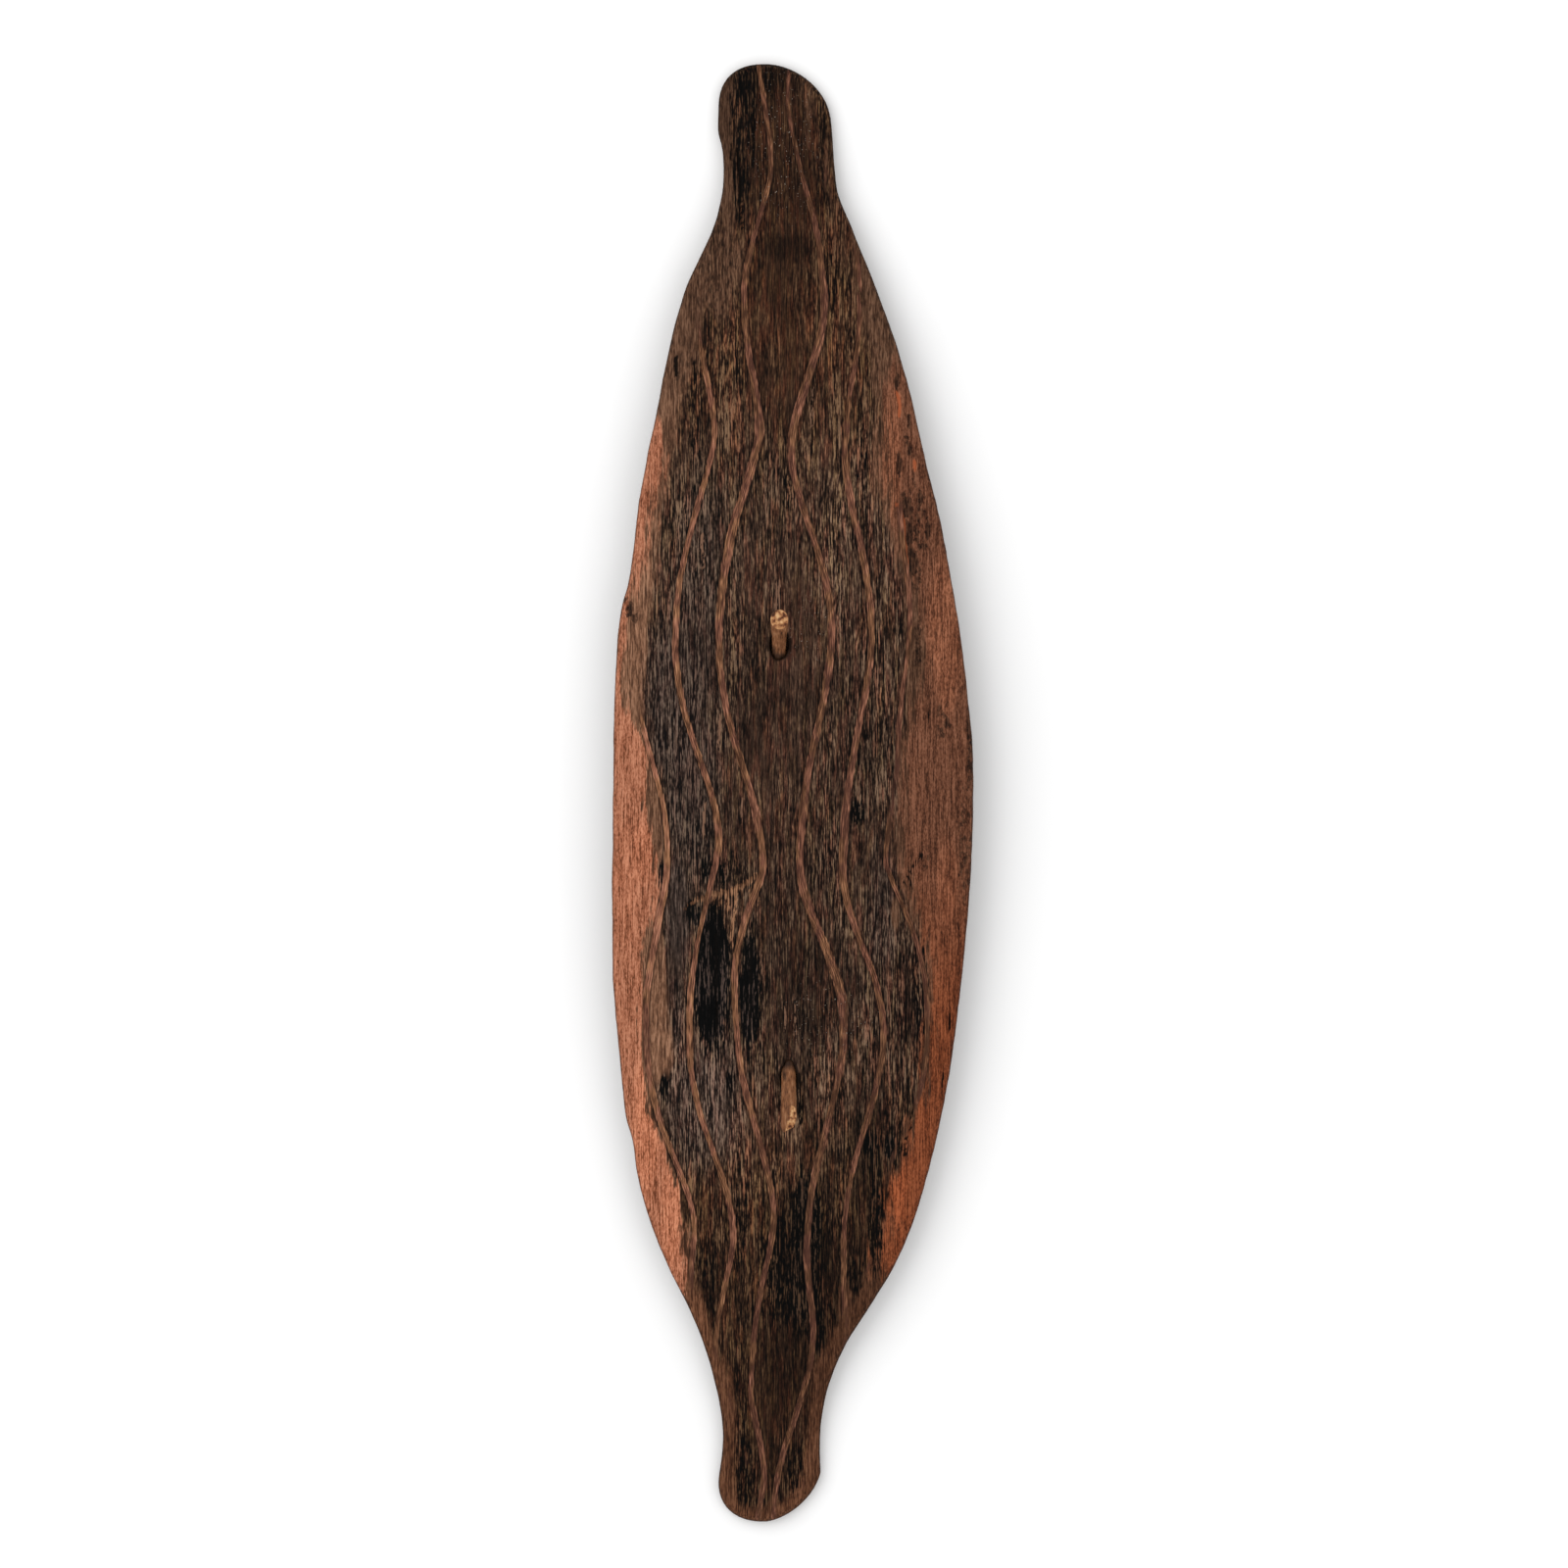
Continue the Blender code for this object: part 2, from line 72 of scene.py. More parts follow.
UPPER_CUT_TILT = radians(14)
LOWER_CUT_TILT = radians(5)
LOWER_CUT_SIDE_TILT = radians(22)
LOBE_STATION = 0.80
LOBE_TAPER_STATION = 0.60

# The board's long edges, as (station, offset)
LEFT_EDGE = (
    (-0.945, -0.413), (-0.887, -0.386), (-0.795, -0.446), (-0.714, -0.560), (-0.661, -0.668),
    (-0.579, -0.804), (-0.526, -0.861), (-0.470, -0.893), (-0.452, -0.917), (-0.392, -0.946),
    (-0.284, -0.989), (-0.160, -1.000), (0.012, -0.995), (0.148, -0.984), (0.258, -0.944), (0.282, -0.919),
    (0.415, -0.842), (0.509, -0.766), (0.577, -0.712), (0.684, -0.603), (0.785, -0.429), (0.838, -0.386),
    (0.884, -0.393), (0.905, -0.414), (0.938, -0.413),
)
RIGHT_EDGE = (
    (-0.929, 0.152), (-0.882, 0.150), (-0.808, 0.204), (-0.754, 0.299), (-0.714, 0.400), (-0.646, 0.567),
    (-0.579, 0.680), (-0.499, 0.772), (-0.392, 0.864), (-0.257, 0.935), (-0.096, 0.990), (0.039, 1.000),
    (0.227, 0.921), (0.388, 0.803), (0.470, 0.722), (0.550, 0.650), (0.684, 0.472), (0.774, 0.328),
    (0.825, 0.248), (0.848, 0.237), (0.919, 0.213),
)
UPPER_TIP_OFFSET = -0.150
LOWER_TIP_OFFSET = -0.158
# How round each edge runs to the lower and the upper tip
LEFT_ROUNDINGS = (2.3, 2.45)
RIGHT_ROUNDINGS = (1.65, 1.85)

# Each groove: where it is cut, its turning points (station, offset, lead), how wide it is beside the
# others (station, share), and how clearly it shows (station, share)
GROOVES = {
    "outer_left": (
        (0.126, -0.694),
        (
            (0.126, -0.853, 0.8), (-0.082, -0.693, 1.0), (-0.297, -0.810, 1.5), (-0.599, -0.546, 0.7),
            (-0.694, -0.565, 1.0),
        ),
        ((-0.1, 1.0), (0.0, 0.8), (1.0, 0.8)),
        ((-0.694, 0.5), (-0.60, 0.7), (-0.40, 0.65), (-0.33, 0.4), (-0.22, 0.8), (0.126, 0.85)),
    ),
    "middle_left": (
        (0.657, -0.790),
        (
            (0.657, -0.527, 1.0), (0.489, -0.435, 0.75), (0.214, -0.649, 1.2), (-0.069, -0.408, 0.7),
            (-0.324, -0.573, 1.2), (-0.606, -0.332, 0.8), (-0.790, -0.435, 1.0),
        ),
        ((-0.5, 1.05), (-0.3, 0.95), (0.0, 0.88), (1.0, 0.92)),
        (
            (-0.79, 0.5), (-0.65, 0.55), (-0.50, 0.63), (-0.42, 0.74), (-0.27, 0.74), (-0.20, 0.56),
            (-0.12, 0.53), (-0.05, 0.66), (0.10, 0.6), (0.20, 0.69), (0.40, 0.68), (0.50, 0.62),
            (0.60, 0.57), (0.657, 0.3),
        ),
    ),
    "inner_left": (
        (1.05, -1.05),
        (
            (1.000, -0.190, 0.7), (0.856, -0.125, 0.81), (0.671, -0.270, 1.0), (0.489, -0.182, 0.65),
            (0.207, -0.410, 1.08), (-0.102, -0.168, 0.7), (-0.257, -0.321, 1.3), (-0.586, -0.106, 0.72),
            (-0.815, -0.231, 1.0), (-0.935, -0.160, 1.0), (-1.000, -0.196, 1.0),
        ),
        ((0.25, 1.1), (0.34, 1.4), (0.48, 1.5), (0.56, 1.3), (0.7, 1.3), (0.8, 1.1)),
        (
            (-1.0, 0.45), (-0.59, 0.45), (-0.37, 0.65), (-0.07, 0.63), (0.03, 0.48), (0.31, 0.63),
            (0.45, 0.54), (0.7, 0.45), (1.0, 0.43),
        ),
    ),
    "inner_right": (
        (1.05, -1.05),
        (
            (1.000, -0.016, 0.8), (0.956, -0.030, 0.86), (0.673, 0.171, 1.06), (0.465, -0.008, 0.86),
            (0.220, 0.215, 0.85), (-0.095, 0.041, 0.97), (-0.313, 0.283, 0.93), (-0.626, 0.078, 1.0),
            (-0.738, 0.112, 0.93), (-1.000, -0.109, 1.0),
        ),
        ((-0.4, 1.2), (0.3, 1.25), (0.5, 1.35), (0.7, 1.5), (0.85, 1.1)),
        (
            (-0.9, 0.43), (-0.8, 0.39), (-0.66, 0.39), (-0.52, 0.44), (-0.3, 0.48), (-0.1, 0.5),
            (0.4, 0.51), (0.6, 0.48), (0.76, 0.45), (0.85, 0.40),
        ),
    ),
    "middle_right": (
        (0.764, -0.745),
        (
            (0.764, 0.337, 0.6), (0.673, 0.372, 1.0), (0.462, 0.288, 0.85), (0.214, 0.435, 0.84),
            (-0.098, 0.277, 1.0), (-0.324, 0.500, 0.97), (-0.609, 0.280, 1.0), (-0.745, 0.288, 1.0),
        ),
        ((-0.5, 1.1), (-0.35, 1.0), (-0.1, 1.2), (0.1, 1.3), (1.0, 1.2)),
        (
            (-0.745, 0.47), (-0.54, 0.51), (-0.24, 0.49), (-0.1, 0.53), (-0.02, 0.46), (0.15, 0.6),
            (0.43, 0.58), (0.55, 0.53), (0.764, 0.51),
        ),
    ),
    "outer_right": (
        (0.415, -0.540),
        (
            (0.415, 0.585, 1.0), (0.241, 0.648, 1.0), (0.066, 0.583, 1.0), (-0.095, 0.512, 0.65),
            (-0.304, 0.745, 1.5), (-0.540, 0.522, 1.0),
        ),
        ((-1.0, 0.85), (1.0, 0.85)),
        ((-0.54, 0.1), (-0.3, 0.4), (-0.12, 0.5), (0.0, 0.15), (0.15, 0.55), (0.415, 0.45)),
    ),
}
# How wide the grooves are along the board, as (station, metres)
GROOVE_WIDTHS = (
    (-1.0, 0.0034), (-0.72, 0.0038), (-0.45, 0.0042), (0.0, 0.0046), (0.45, 0.0042), (0.65, 0.0034),
    (0.80, 0.0032), (1.0, 0.0030),
)
# Where a groove isn't cut, its columns spread out evenly between an inner groove and the edge
SPREAD = {
    "outer_left": ("inner_left", 2 / 3),
    "middle_left": ("inner_left", 1 / 3),
    "middle_right": ("inner_right", 1 / 3),
    "outer_right": ("inner_right", 2 / 3),
}
# The two holes, as (station, offset), and how the stick bends between them
UPPER_HOLE = (0.203, -0.076)
LOWER_HOLE = (-0.393, -0.024)
CREST_STATION = -0.090
PULL_AT_CREST = 0.45
PULL_AT_BOARD = 0.28

# How much thinner each peg is just above the board, and the lengths over which it narrows and widens
UPPER_NARROWING = 0.24
LOWER_NARROWING = 0.08
NARROWING_LENGTH = 0.002
WIDENING_LENGTH = 0.009

# The photograph: metres per pixel, and the pixel above the board's origin
PIXEL = 0.00061828
CENTRE_PIXEL = 809.0

# How finely the board and the stick are meshed
TIP_ROWS = (
    0.00004, 0.00025, 0.0006, 0.0011, 0.0018, 0.0027, 0.0038, 0.0052, 0.0070, 0.0092, 0.0118, 0.0148, 0.0180,
)
ROW_SPACING = 0.0033
ROW_STEPS = 20001
HOLE_ROW_SPACING = 0.0013
HOLE_ROW_REACH = 0.014
HOLE_ROW_EASE = (0.7, 1.3)
OUTLINE_POINTS = 4000
RIM_COLUMNS = (0.0, 0.12, 0.32, 0.62, 1.0)
COLUMNS_BETWEEN = (22, 20, 22, 36, 22, 22, 36)
GROOVE_COLUMNS = (-1.0, -0.78, -0.5, -0.2, 0.2, 0.5, 0.78, 1.0)
BACK_COLUMNS = 56
NARROWEST_COLUMN = 0.0001
SAME_PLACE = 1e-5
MERGE_DISTANCE = 2e-6
BOARD_SHARPEST = 55
STICK_SHARPEST = 38
CUTTER_SIDES = 40
STICK_BEND_RINGS = 60
STICK_STRAIGHT_RINGS = 26
STICK_SIDES = 48
CUT_RINGS = 14
CUT_FACE_RINGS = 9

# Relief of wood: (height, size across the grain, size along it, seed)
ROLLING = (0.00045, 0.020, 0.060, 1)
RIDGES = (0.00022, 0.0046, 0.050, 2)
FIBRES = (0.00012, 0.0021, 0.016, 3)
PITS = (1.0, 0.0028, 0.013, 4)
BACK_GRAIN = (0.00015, 0.005, 0.05, 5)
STICK_GRAIN = (0.00010, 0.0011, 0.009, 61)
STICK_LUMPS = (0.00022, 0.008, 0.014, 62)
CUT_FACE_GRAIN = (0.0002, 0.0014, 0.0018, 63)
STICK_MEAN_RADIUS = 0.0052
NOISE_CELLS = 256
NOISE_SHIFT = 1000.5
# How deep each kind of mark is, and how much smoother the ochre margins are
PIT_DEPTH = 0.0004
GASH_DEPTH = 0.0010
CHAR_DEPTH = 0.0003
KNOT_DEPTH = 0.0005
SCAR_DEPTH = 0.0004
PITH_DEPTH = 0.0004
PITH_MIDDLE_DEPTH = 0.0005
OCHRE_SMOOTHNESS = 0.65
OCHRE_EDGE = (-0.003, 0.004)
# The outermost ring of each cut face, as a share of the cut
CUT_RIM = 0.965
# How deep a faint groove still is, as a share, and how high, how far out and how broad the lips stand
FAINT_DEPTH = 0.35
GROOVE_FLOOR = 0.85
LIP_HEIGHT = 0.00018
LIP_PLACE = 0.25
LIP_BREADTH = 0.28
# How far to each side the grain follows a groove
FOLLOWED = 0.006
# The broken hollow just above the lower hole: (column, row, half width, half height, strength)
SCOOP_DEPTH = 0.0016
SCOOP = ((806, 1080, 6, 12, 1.0),)
# Scallops left by the tool that hollowed the back, and how gradually they start at the rim
SCALLOPS = 260
SCALLOP_SEED = 77
SCALLOP_DEPTH = 0.0007
SCALLOP_HALF_WIDTHS = (0.008, 0.016)
SCALLOP_HALF_LENGTHS = (0.016, 0.034)
SCALLOP_START = 0.012
# Wear along the edges: how deep and how long its slow waves and its small chips are
WEAR_DEPTH = 0.00035
WEAR_LENGTH = 0.021
CHIP_DEPTH = 0.0002
CHIP_LENGTH = 0.006
WHOLE_TIPS = (0.93, 0.97)
# How the grooves' middles wander in metres, and how their widths vary as shares, and over what lengths
GROOVE_WANDER = 0.00040
WANDER_LENGTH = 0.020
GROOVE_SWELL = 0.28
SWELL_LENGTH = 0.055
GROOVE_RAGGEDNESS = 0.16
RAGGED_LENGTH = 0.014
# Where round marks start and stop fading, as shares of their size, and the same for stroked ones
ROUND_FADE = (0.55, 1.45)
STROKE_FADE = (0.35, 1.4)
# A distance that counts as well outside a margin
FAR_OUTSIDE = 0.03

# Inner edge of the ochre on each margin, as (row, column)
LEFT_OCHRE = (
    (412, 640), (428, 668), (446, 675), (477, 676), (507, 671), (538, 664), (568, 656), (599, 648),
    (640, 640), (735, 643), (765, 658), (793, 665), (824, 659), (854, 667), (900, 670), (941, 665),
    (966, 658), (1040, 655), (1085, 658), (1135, 663), (1158, 674), (1207, 688), (1268, 698), (1300, 698),
    (1345, 690),
)
RIGHT_OCHRE = (
    (350, 925), (372, 912), (400, 904), (421, 901), (490, 900), (520, 906), (560, 921), (590, 930),
    (630, 941), (690, 941), (722, 927), (800, 921), (840, 917), (871, 920), (901, 927), (962, 943),
    (1010, 950), (1055, 946), (1110, 941), (1141, 930), (1172, 925), (1195, 919), (1210, 909), (1250, 906),
    (1285, 900), (1312, 908),
)
# Inner edge of the plain brown that borders each margin, as (row, column)
LEFT_BAND = (
    (190, 735), (230, 729), (260, 723), (277, 724), (308, 719), (347, 716), (375, 711), (398, 700),
    (421, 692), (446, 687), (507, 679), (568, 666), (640, 660), (735, 657), (800, 672), (854, 678),
    (900, 675), (941, 670), (985, 676), (1040, 683), (1090, 683), (1110, 668), (1160, 675), (1207, 689),
    (1268, 702), (1300, 706), (1328, 713), (1355, 724), (1382, 732), (1413, 744), (1444, 748), (1500, 750),
    (1550, 750),
)
RIGHT_BAND = (
    (190, 860), (230, 868), (273, 874), (300, 881), (336, 884), (363, 888), (390, 890), (421, 894),
    (450, 893), (500, 894), (540, 908), (600, 922), (720, 922), (800, 917), (871, 914), (930, 928),
    (1000, 945), (1100, 939), (1180, 921), (1250, 903), (1290, 892), (1310, 880), (1336, 864), (1355, 852),
    (1382, 838), (1413, 829), (1444, 824), (1500, 822), (1550, 822),
)
# The plain brown margin around the lower lobe and left of the upper one: how broad it is, and the
# stations where it starts and where it thins out towards the tip
LOWER_LOBE_MARGIN = 0.0098
LOWER_LOBE_START = (0.84, 0.90)
LOWER_LOBE_END = (0.95, 1.0)
LOWER_LOBE_THINNING = 0.35
UPPER_LOBE_MARGIN = 0.0085
UPPER_LOBE_START = (0.76, 0.82)
UPPER_LOBE_END = (0.955, 0.99)
LEFT_OF_MIDDLE = (-0.020, -0.008)
# How far the brown borders draw back at both ends in metres, and over how many rows
BAND_RECESS = 0.012
UPPER_RECESS_ROWS = 40
LOWER_RECESS_ROWS = 30

# How light the dark wood is along the board, as (station, share)
SHADES = (
    (-1.0, 0.66), (-0.80, 0.60), (-0.62, 0.80), (-0.48, 0.95), (-0.30, 1.0), (0.0, 1.0), (0.35, 1.0),
    (0.60, 0.86), (0.78, 0.66), (0.90, 0.60), (1.0, 0.66),
)
# How light the plain brown margins are along the board, as (station, share)
BAND_LIGHT_LEFT = (
    (-1.0, 0.84), (-0.85, 0.73), (-0.78, 0.80), (-0.72, 0.95), (-0.55, 1.2), (-0.45, 1.5), (-0.25, 1.5),
    (-0.1, 1.25), (0.1, 1.5), (0.25, 1.7), (0.38, 1.42), (0.46, 1.32), (0.6, 0.87), (0.75, 0.76),
    (0.88, 0.52), (1.0, 0.43),
)
BAND_LIGHT_RIGHT = (
    (-1.0, 0.86), (-0.90, 0.76), (-0.80, 0.58), (-0.72, 0.56), (-0.60, 0.68), (-0.3, 0.9), (0.25, 0.9),
    (0.40, 1.06), (0.50, 1.0), (0.65, 0.84), (0.8, 0.75), (1.0, 0.75),
)

# Marks that fade out all round: (column, row, half width, half height, strength)
BLOTCHES = {
    "charred": (
        (726, 996, 18, 72, 1.5), (722, 889, 6, 15, 0.8), (822, 1255, 17, 60, 1.1), (752, 1255, 12, 40, 0.6),
        (816, 1312, 22, 46, 0.9), (832, 1352, 10, 30, 0.6), (872, 1300, 11, 28, 0.5),
        (765, 1010, 10, 60, 1.2), (738, 893, 4, 15, 1.0), (712, 935, 5, 12, 1.0), (706, 931, 6, 14, 0.9),
        (746, 884, 11, 17, 0.55), (745, 1102, 5, 11, 0.8), (678, 1112, 5, 15, 0.9), (675, 893, 3, 16, 0.9),
        (875, 828, 8, 15, 0.8), (760, 112, 15, 56, 0.62), (755, 180, 9, 40, 0.5), (806, 500, 8, 24, 0.6),
        (795, 1290, 17, 55, 0.75), (909, 1172, 9, 17, 0.9), (888, 1166, 11, 15, 0.7),
        (893, 1250, 9, 50, 0.75), (724, 1285, 12, 40, 0.46), (760, 1500, 11, 36, 0.6),
        (811, 1500, 9, 30, 0.6), (878, 470, 8, 55, 0.35), (938, 1010, 8, 60, 0.55), (711, 470, 8, 45, 0.5),
    ),
    "knots": (
        (934, 532, 13, 32, 0.46), (934, 588, 7, 22, 0.44), (962, 732, 10, 24, 0.30), (927, 431, 2, 10, 0.8),
        (925, 447, 3, 5, 0.8), (928, 460, 3, 7, 0.7), (917, 475, 3.2, 13, 1.0), (932, 490, 2, 9, 0.6),
        (921, 504, 4, 4, 0.8), (925, 517, 5, 11, 1.0), (938, 509, 4, 9, 0.7), (932, 527, 5, 6, 0.7),
        (942, 524, 4, 6, 0.6), (928, 548, 4, 16, 1.0), (946, 542, 3, 11, 0.9), (941, 557, 6, 4, 1.0),
        (938, 541, 2.5, 7, 0.6), (931, 576, 5, 14, 1.0), (915, 392, 2.5, 12, 0.8), (936, 660, 4, 34, 0.7),
        (963, 719, 5, 4, 0.7), (958, 727, 3, 6, 0.6), (967, 738, 5, 5, 0.8), (959, 749, 5, 4, 0.7),
        (943, 874, 6, 15, 0.4), (669, 1138, 4, 12, 0.9), (637, 613, 4, 4, 0.8), (643, 622, 4, 8, 0.75),
        (648, 632, 4, 7, 0.65), (989, 760, 4, 60, 0.6), (984, 870, 8, 64, 0.48),
    ),
    "grey": (
        (705, 800, 28, 110, 0.7), (716, 620, 24, 130, 0.55), (716, 1130, 40, 60, 0.7),
        (692, 930, 12, 62, 1.0), (690, 1030, 8, 50, 0.6), (690, 720, 30, 90, 0.8), (706, 850, 22, 70, 0.5),
        (900, 930, 16, 60, 0.5), (735, 1095, 26, 40, 0.4),
    ),
    "brown": (
        (671, 1040, 12, 62, 1.0), (896, 388, 9, 20, 1.0), (913, 931, 5, 17, 1.0), (680, 420, 12, 26, 0.9),
        (700, 330, 18, 54, 0.7), (732, 275, 26, 56, 0.72), (744, 225, 8, 34, 0.7), (742, 350, 18, 40, 0.25),
        (880, 300, 14, 50, 0.5), (860, 235, 10, 50, 0.45), (846, 150, 8, 60, 0.35),
        (820, 100, 20, 30, 0.35), (738, 1440, 5, 70, 0.7), (832, 1440, 5, 60, 0.7), (716, 1365, 8, 40, 0.7),
        (862, 1345, 8, 40, 0.7), (805, 620, 16, 30, 0.25), (745, 1530, 10, 14, 0.5),
    ),
    "salmon": (
        (909, 468, 10, 58, 1.0), (965, 640, 18, 70, 1.1), (966, 695, 10, 34, 0.9), (917, 412, 2.5, 10, 2.2),
        (933, 476, 2.5, 5, 2.2), (966, 895, 10, 40, 0.6), (936, 1060, 10, 40, 0.3),
        (915, 1215, 10, 50, 0.6), (660, 1150, 14, 70, 0.9), (686, 1240, 12, 60, 0.8),
        (638, 900, 12, 60, 0.3), (655, 870, 12, 30, 0.6),
    ),
    "dusty": ((800, 150, 34, 70, 1.0), (826, 640, 26, 30, 1.0), (846, 1040, 46, 40, 1.0)),
    "calm": (
        (798, 330, 34, 130, 1.0), (800, 170, 34, 90, 1.1), (800, 620, 46, 90, 0.7),
        (795, 760, 50, 150, 0.8), (800, 980, 40, 110, 0.5), (790, 1410, 28, 60, 1.0),
        (786, 1500, 30, 40, 0.4), (692, 930, 14, 70, 1.1), (676, 700, 18, 90, 0.5),
        (671, 1040, 12, 62, 1.0),
    ),
    "flecked": (
        (735, 290, 30, 64, 1.0), (704, 385, 20, 34, 0.9), (832, 140, 26, 70, 0.7), (893, 340, 18, 70, 0.7),
    ),
}
# Where the dark wood is darker and where it is lighter, in the same form
DIM = (
    (804, 252, 30, 14, 0.85), (798, 350, 34, 110, 0.10), (815, 1266, 38, 78, 0.82),
    (834, 1325, 38, 74, 0.88), (826, 1270, 26, 50, 1.14), (752, 1275, 14, 30, 0.5),
    (735, 1405, 20, 40, 0.25), (832, 1350, 18, 28, 1.06), (850, 1000, 22, 40, 0.6),
    (848, 1196, 38, 26, 0.2), (846, 412, 44, 34, 0.28), (872, 846, 26, 50, 0.2), (872, 1290, 22, 50, 0.6),
    (892, 1190, 26, 70, 0.84), (800, 1302, 14, 24, 0.8), (918, 1032, 28, 56, 0.28),
    (802, 1365, 38, 60, 0.66), (818, 1012, 34, 66, 0.74), (784, 980, 26, 74, 0.42),
    (750, 1005, 30, 60, 0.3), (772, 70, 44, 30, 0.85), (724, 1294, 14, 46, 0.56), (790, 1340, 36, 40, 0.5),
    (770, 900, 34, 60, 0.38), (815, 925, 26, 50, 0.45), (884, 762, 22, 34, 0.55), (788, 522, 18, 32, 0.22),
    (712, 675, 14, 36, 0.3), (740, 806, 22, 50, 0.2), (812, 705, 56, 36, 0.3), (790, 580, 24, 50, 0.16),
    (712, 800, 16, 80, 0.30), (760, 850, 15, 36, 0.50), (757, 140, 18, 70, 0.26), (798, 160, 20, 70, 0.16),
    (790, 1500, 44, 50, 0.3), (768, 720, 26, 64, 0.5),
)
LIGHTER = (
    # The mark at (814, 668), below the upper peg, is painted light that lifts the shadow the peg casts there
    (872, 520, 42, 210, 1.6), (905, 540, 20, 50, 1.8), (852, 552, 18, 40, 2.4), (814, 668, 28, 36, 2.2),
    (852, 1096, 20, 36, 2.4), (700, 480, 20, 70, 0.4), (700, 1106, 46, 48, 4.4), (775, 1148, 62, 32, 3.2),
    (788, 1198, 32, 24, 3.0), (735, 1200, 30, 36, 1.6), (712, 352, 16, 30, 1.6), (750, 345, 14, 30, 1.6),
    (700, 400, 14, 26, 1.2),
)

# Marks that follow a line: (width, strength, (column, row), (column, row), ...)
STROKES = {
    "gashes_and_painted_shadow": (
        (3.4, 1.0, (752, 150), (756, 190), (758, 236)), (4.2, 1.0, (690, 363), (691, 386)),
        (3.2, 1.0, (708, 368), (709, 392)), (4.2, 1.0, (924, 1160), (923, 1178)),
        (3.0, 0.9, (930, 1134), (929, 1153)), (2.6, 0.8, (921, 1135), (918, 1151)),
        (2.6, 0.8, (917, 1172), (914, 1188)), (2.4, 1.0, (969, 1034), (968, 1049)),
        (2.4, 0.9, (962, 1094), (961, 1110)), (2.0, 0.8, (947, 729), (946, 739)),
        (2.8, 0.95, (914, 908), (925, 896), (931, 884), (941, 871)), (2.4, 0.7, (931, 914), (929, 900)),
        (3.2, 0.9, (770, 120), (768, 170)), (2.6, 0.7, (745, 120), (746, 165)),
        (3.0, 0.8, (731, 950), (732, 1060)), (2.8, 0.8, (766, 960), (764, 1050)),
        (2.6, 0.7, (893, 1225), (890, 1290)), (2.6, 0.6, (760, 1475), (758, 1530)),
        # The stroke from (797, 1088) is painted shade in the gap left of the lower peg, and the broad one
        # from (815, 1096) is the peg's painted shadow on its right
        (3.2, 0.8, (812, 1475), (808, 1520)), (3.4, 0.9, (797, 1088), (796, 1118)),
        (6.2, 0.86, (815, 1096), (817, 1120), (817, 1146)), (2.6, 0.6, (983, 842), (984, 866)),
        (2.4, 0.6, (977, 940), (979, 962)),
    ),
    "pale": (
        (2.6, 0.8, (698, 514), (703, 548)), (3.6, 1.2, (716, 546), (718, 580)),
        (3.0, 0.8, (735, 730), (733, 768)), (3.4, 0.9, (720, 820), (718, 852)),
        (2.6, 0.7, (757, 812), (756, 842)), (5.6, 1.1, (794, 596), (795, 624)),
        (2.8, 0.85, (829, 398), (828, 436)), (2.4, 0.5, (690, 475), (694, 496)),
        (3.0, 0.6, (885, 1090), (884, 1112)), (3.0, 0.5, (711, 1250), (708, 1300)),
        (4.0, 0.8, (706, 1258), (712, 1260)), (2.6, 0.5, (752, 1180), (751, 1230)),
        (2.8, 0.75, (777, 968), (778, 1012)), (3.2, 0.85, (800, 1018), (801, 1050)),
        (3.6, 0.85, (810, 1018), (811, 1056)),
    ),
    "scar": (
        (5.0, 0.9, (700, 925), (709, 919), (718, 915), (726, 910)),
        (7.6, 0.92, (726, 911), (738, 912), (747, 910), (756, 904)),
        (6.0, 1.0, (756, 904), (764, 899), (771, 894)), (4.2, 0.8, (734, 914), (735, 923)),
        (4.2, 0.9, (742, 914), (743, 926)), (4.0, 0.9, (729, 912), (729, 920)),
        (2.6, 0.85, (750, 908), (750, 930), (748, 945), (746, 956), (748, 966)),
        (3.0, 0.8, (774, 898), (775, 920)), (3.0, 0.8, (768, 902), (766, 912)),
    ),
    "orange": (
        (4.0, 1.1, (914, 515), (919, 522), (922, 534), (922, 548), (924, 562), (925, 578), (924, 594)),
        (4.0, 1.0, (914, 400), (918, 412), (917, 424)), (4.0, 0.9, (933, 470), (933, 481)),
    ),
}
# Darkening on the stick's ends, in the same form: painted shade where they go into the holes, and soil
SHADE_AND_SOIL = (
    (9.0, 1.0, (786, 669), (797, 672), (808, 669)), (6.0, 0.9, (788, 662), (790, 668)),
    (5.0, 0.9, (805, 662), (803, 668)), (4.0, 0.7, (788, 628), (791, 623), (797, 621), (803, 623)),
    (13.0, 1.0, (798, 1085), (806, 1083), (814, 1085)), (4.0, 0.8, (799, 1090), (801, 1100)),
)
# Where the lower end of the stick is trimmed off square: from and to (column, row)
TRIMMED_END = ((801, 1153), (814, 1146))
# The pale part of the lower cut face lies right of this line
PALE_FACE = ((807, 1128), (801, 1152))
PALE_FACE_EDGE = (-0.0006, 0.0004)

# Studio: how strongly the front is lit in all, and each light's place, size and power
STUDIO_LIGHT = 1.36
SKY_LIGHT = 0.88
KEY_LIGHT = ((-1.9, 0.9, 2.4), 3.2, 42.0)
FILL_LIGHT = ((1.6, -0.8, 2.6), 2.0, 8.0)
FLOOR_HALF = 60.0
FLOOR_DROP = 0.0002
VIEW_WIDTH = 0.9892
VIEW_CENTRE = (-0.0056, 0.0056)
VIEW_PLANE = 0.010
CAMERA_DISTANCE = 10.0
SENSOR = 36.0

HALF_LENGTH = BOARD_LENGTH / 2
HALF_WIDTH = BOARD_WIDTH / 2
BOARD_TOP = BOW + LOBE_THICKNESS - REST_WEAR


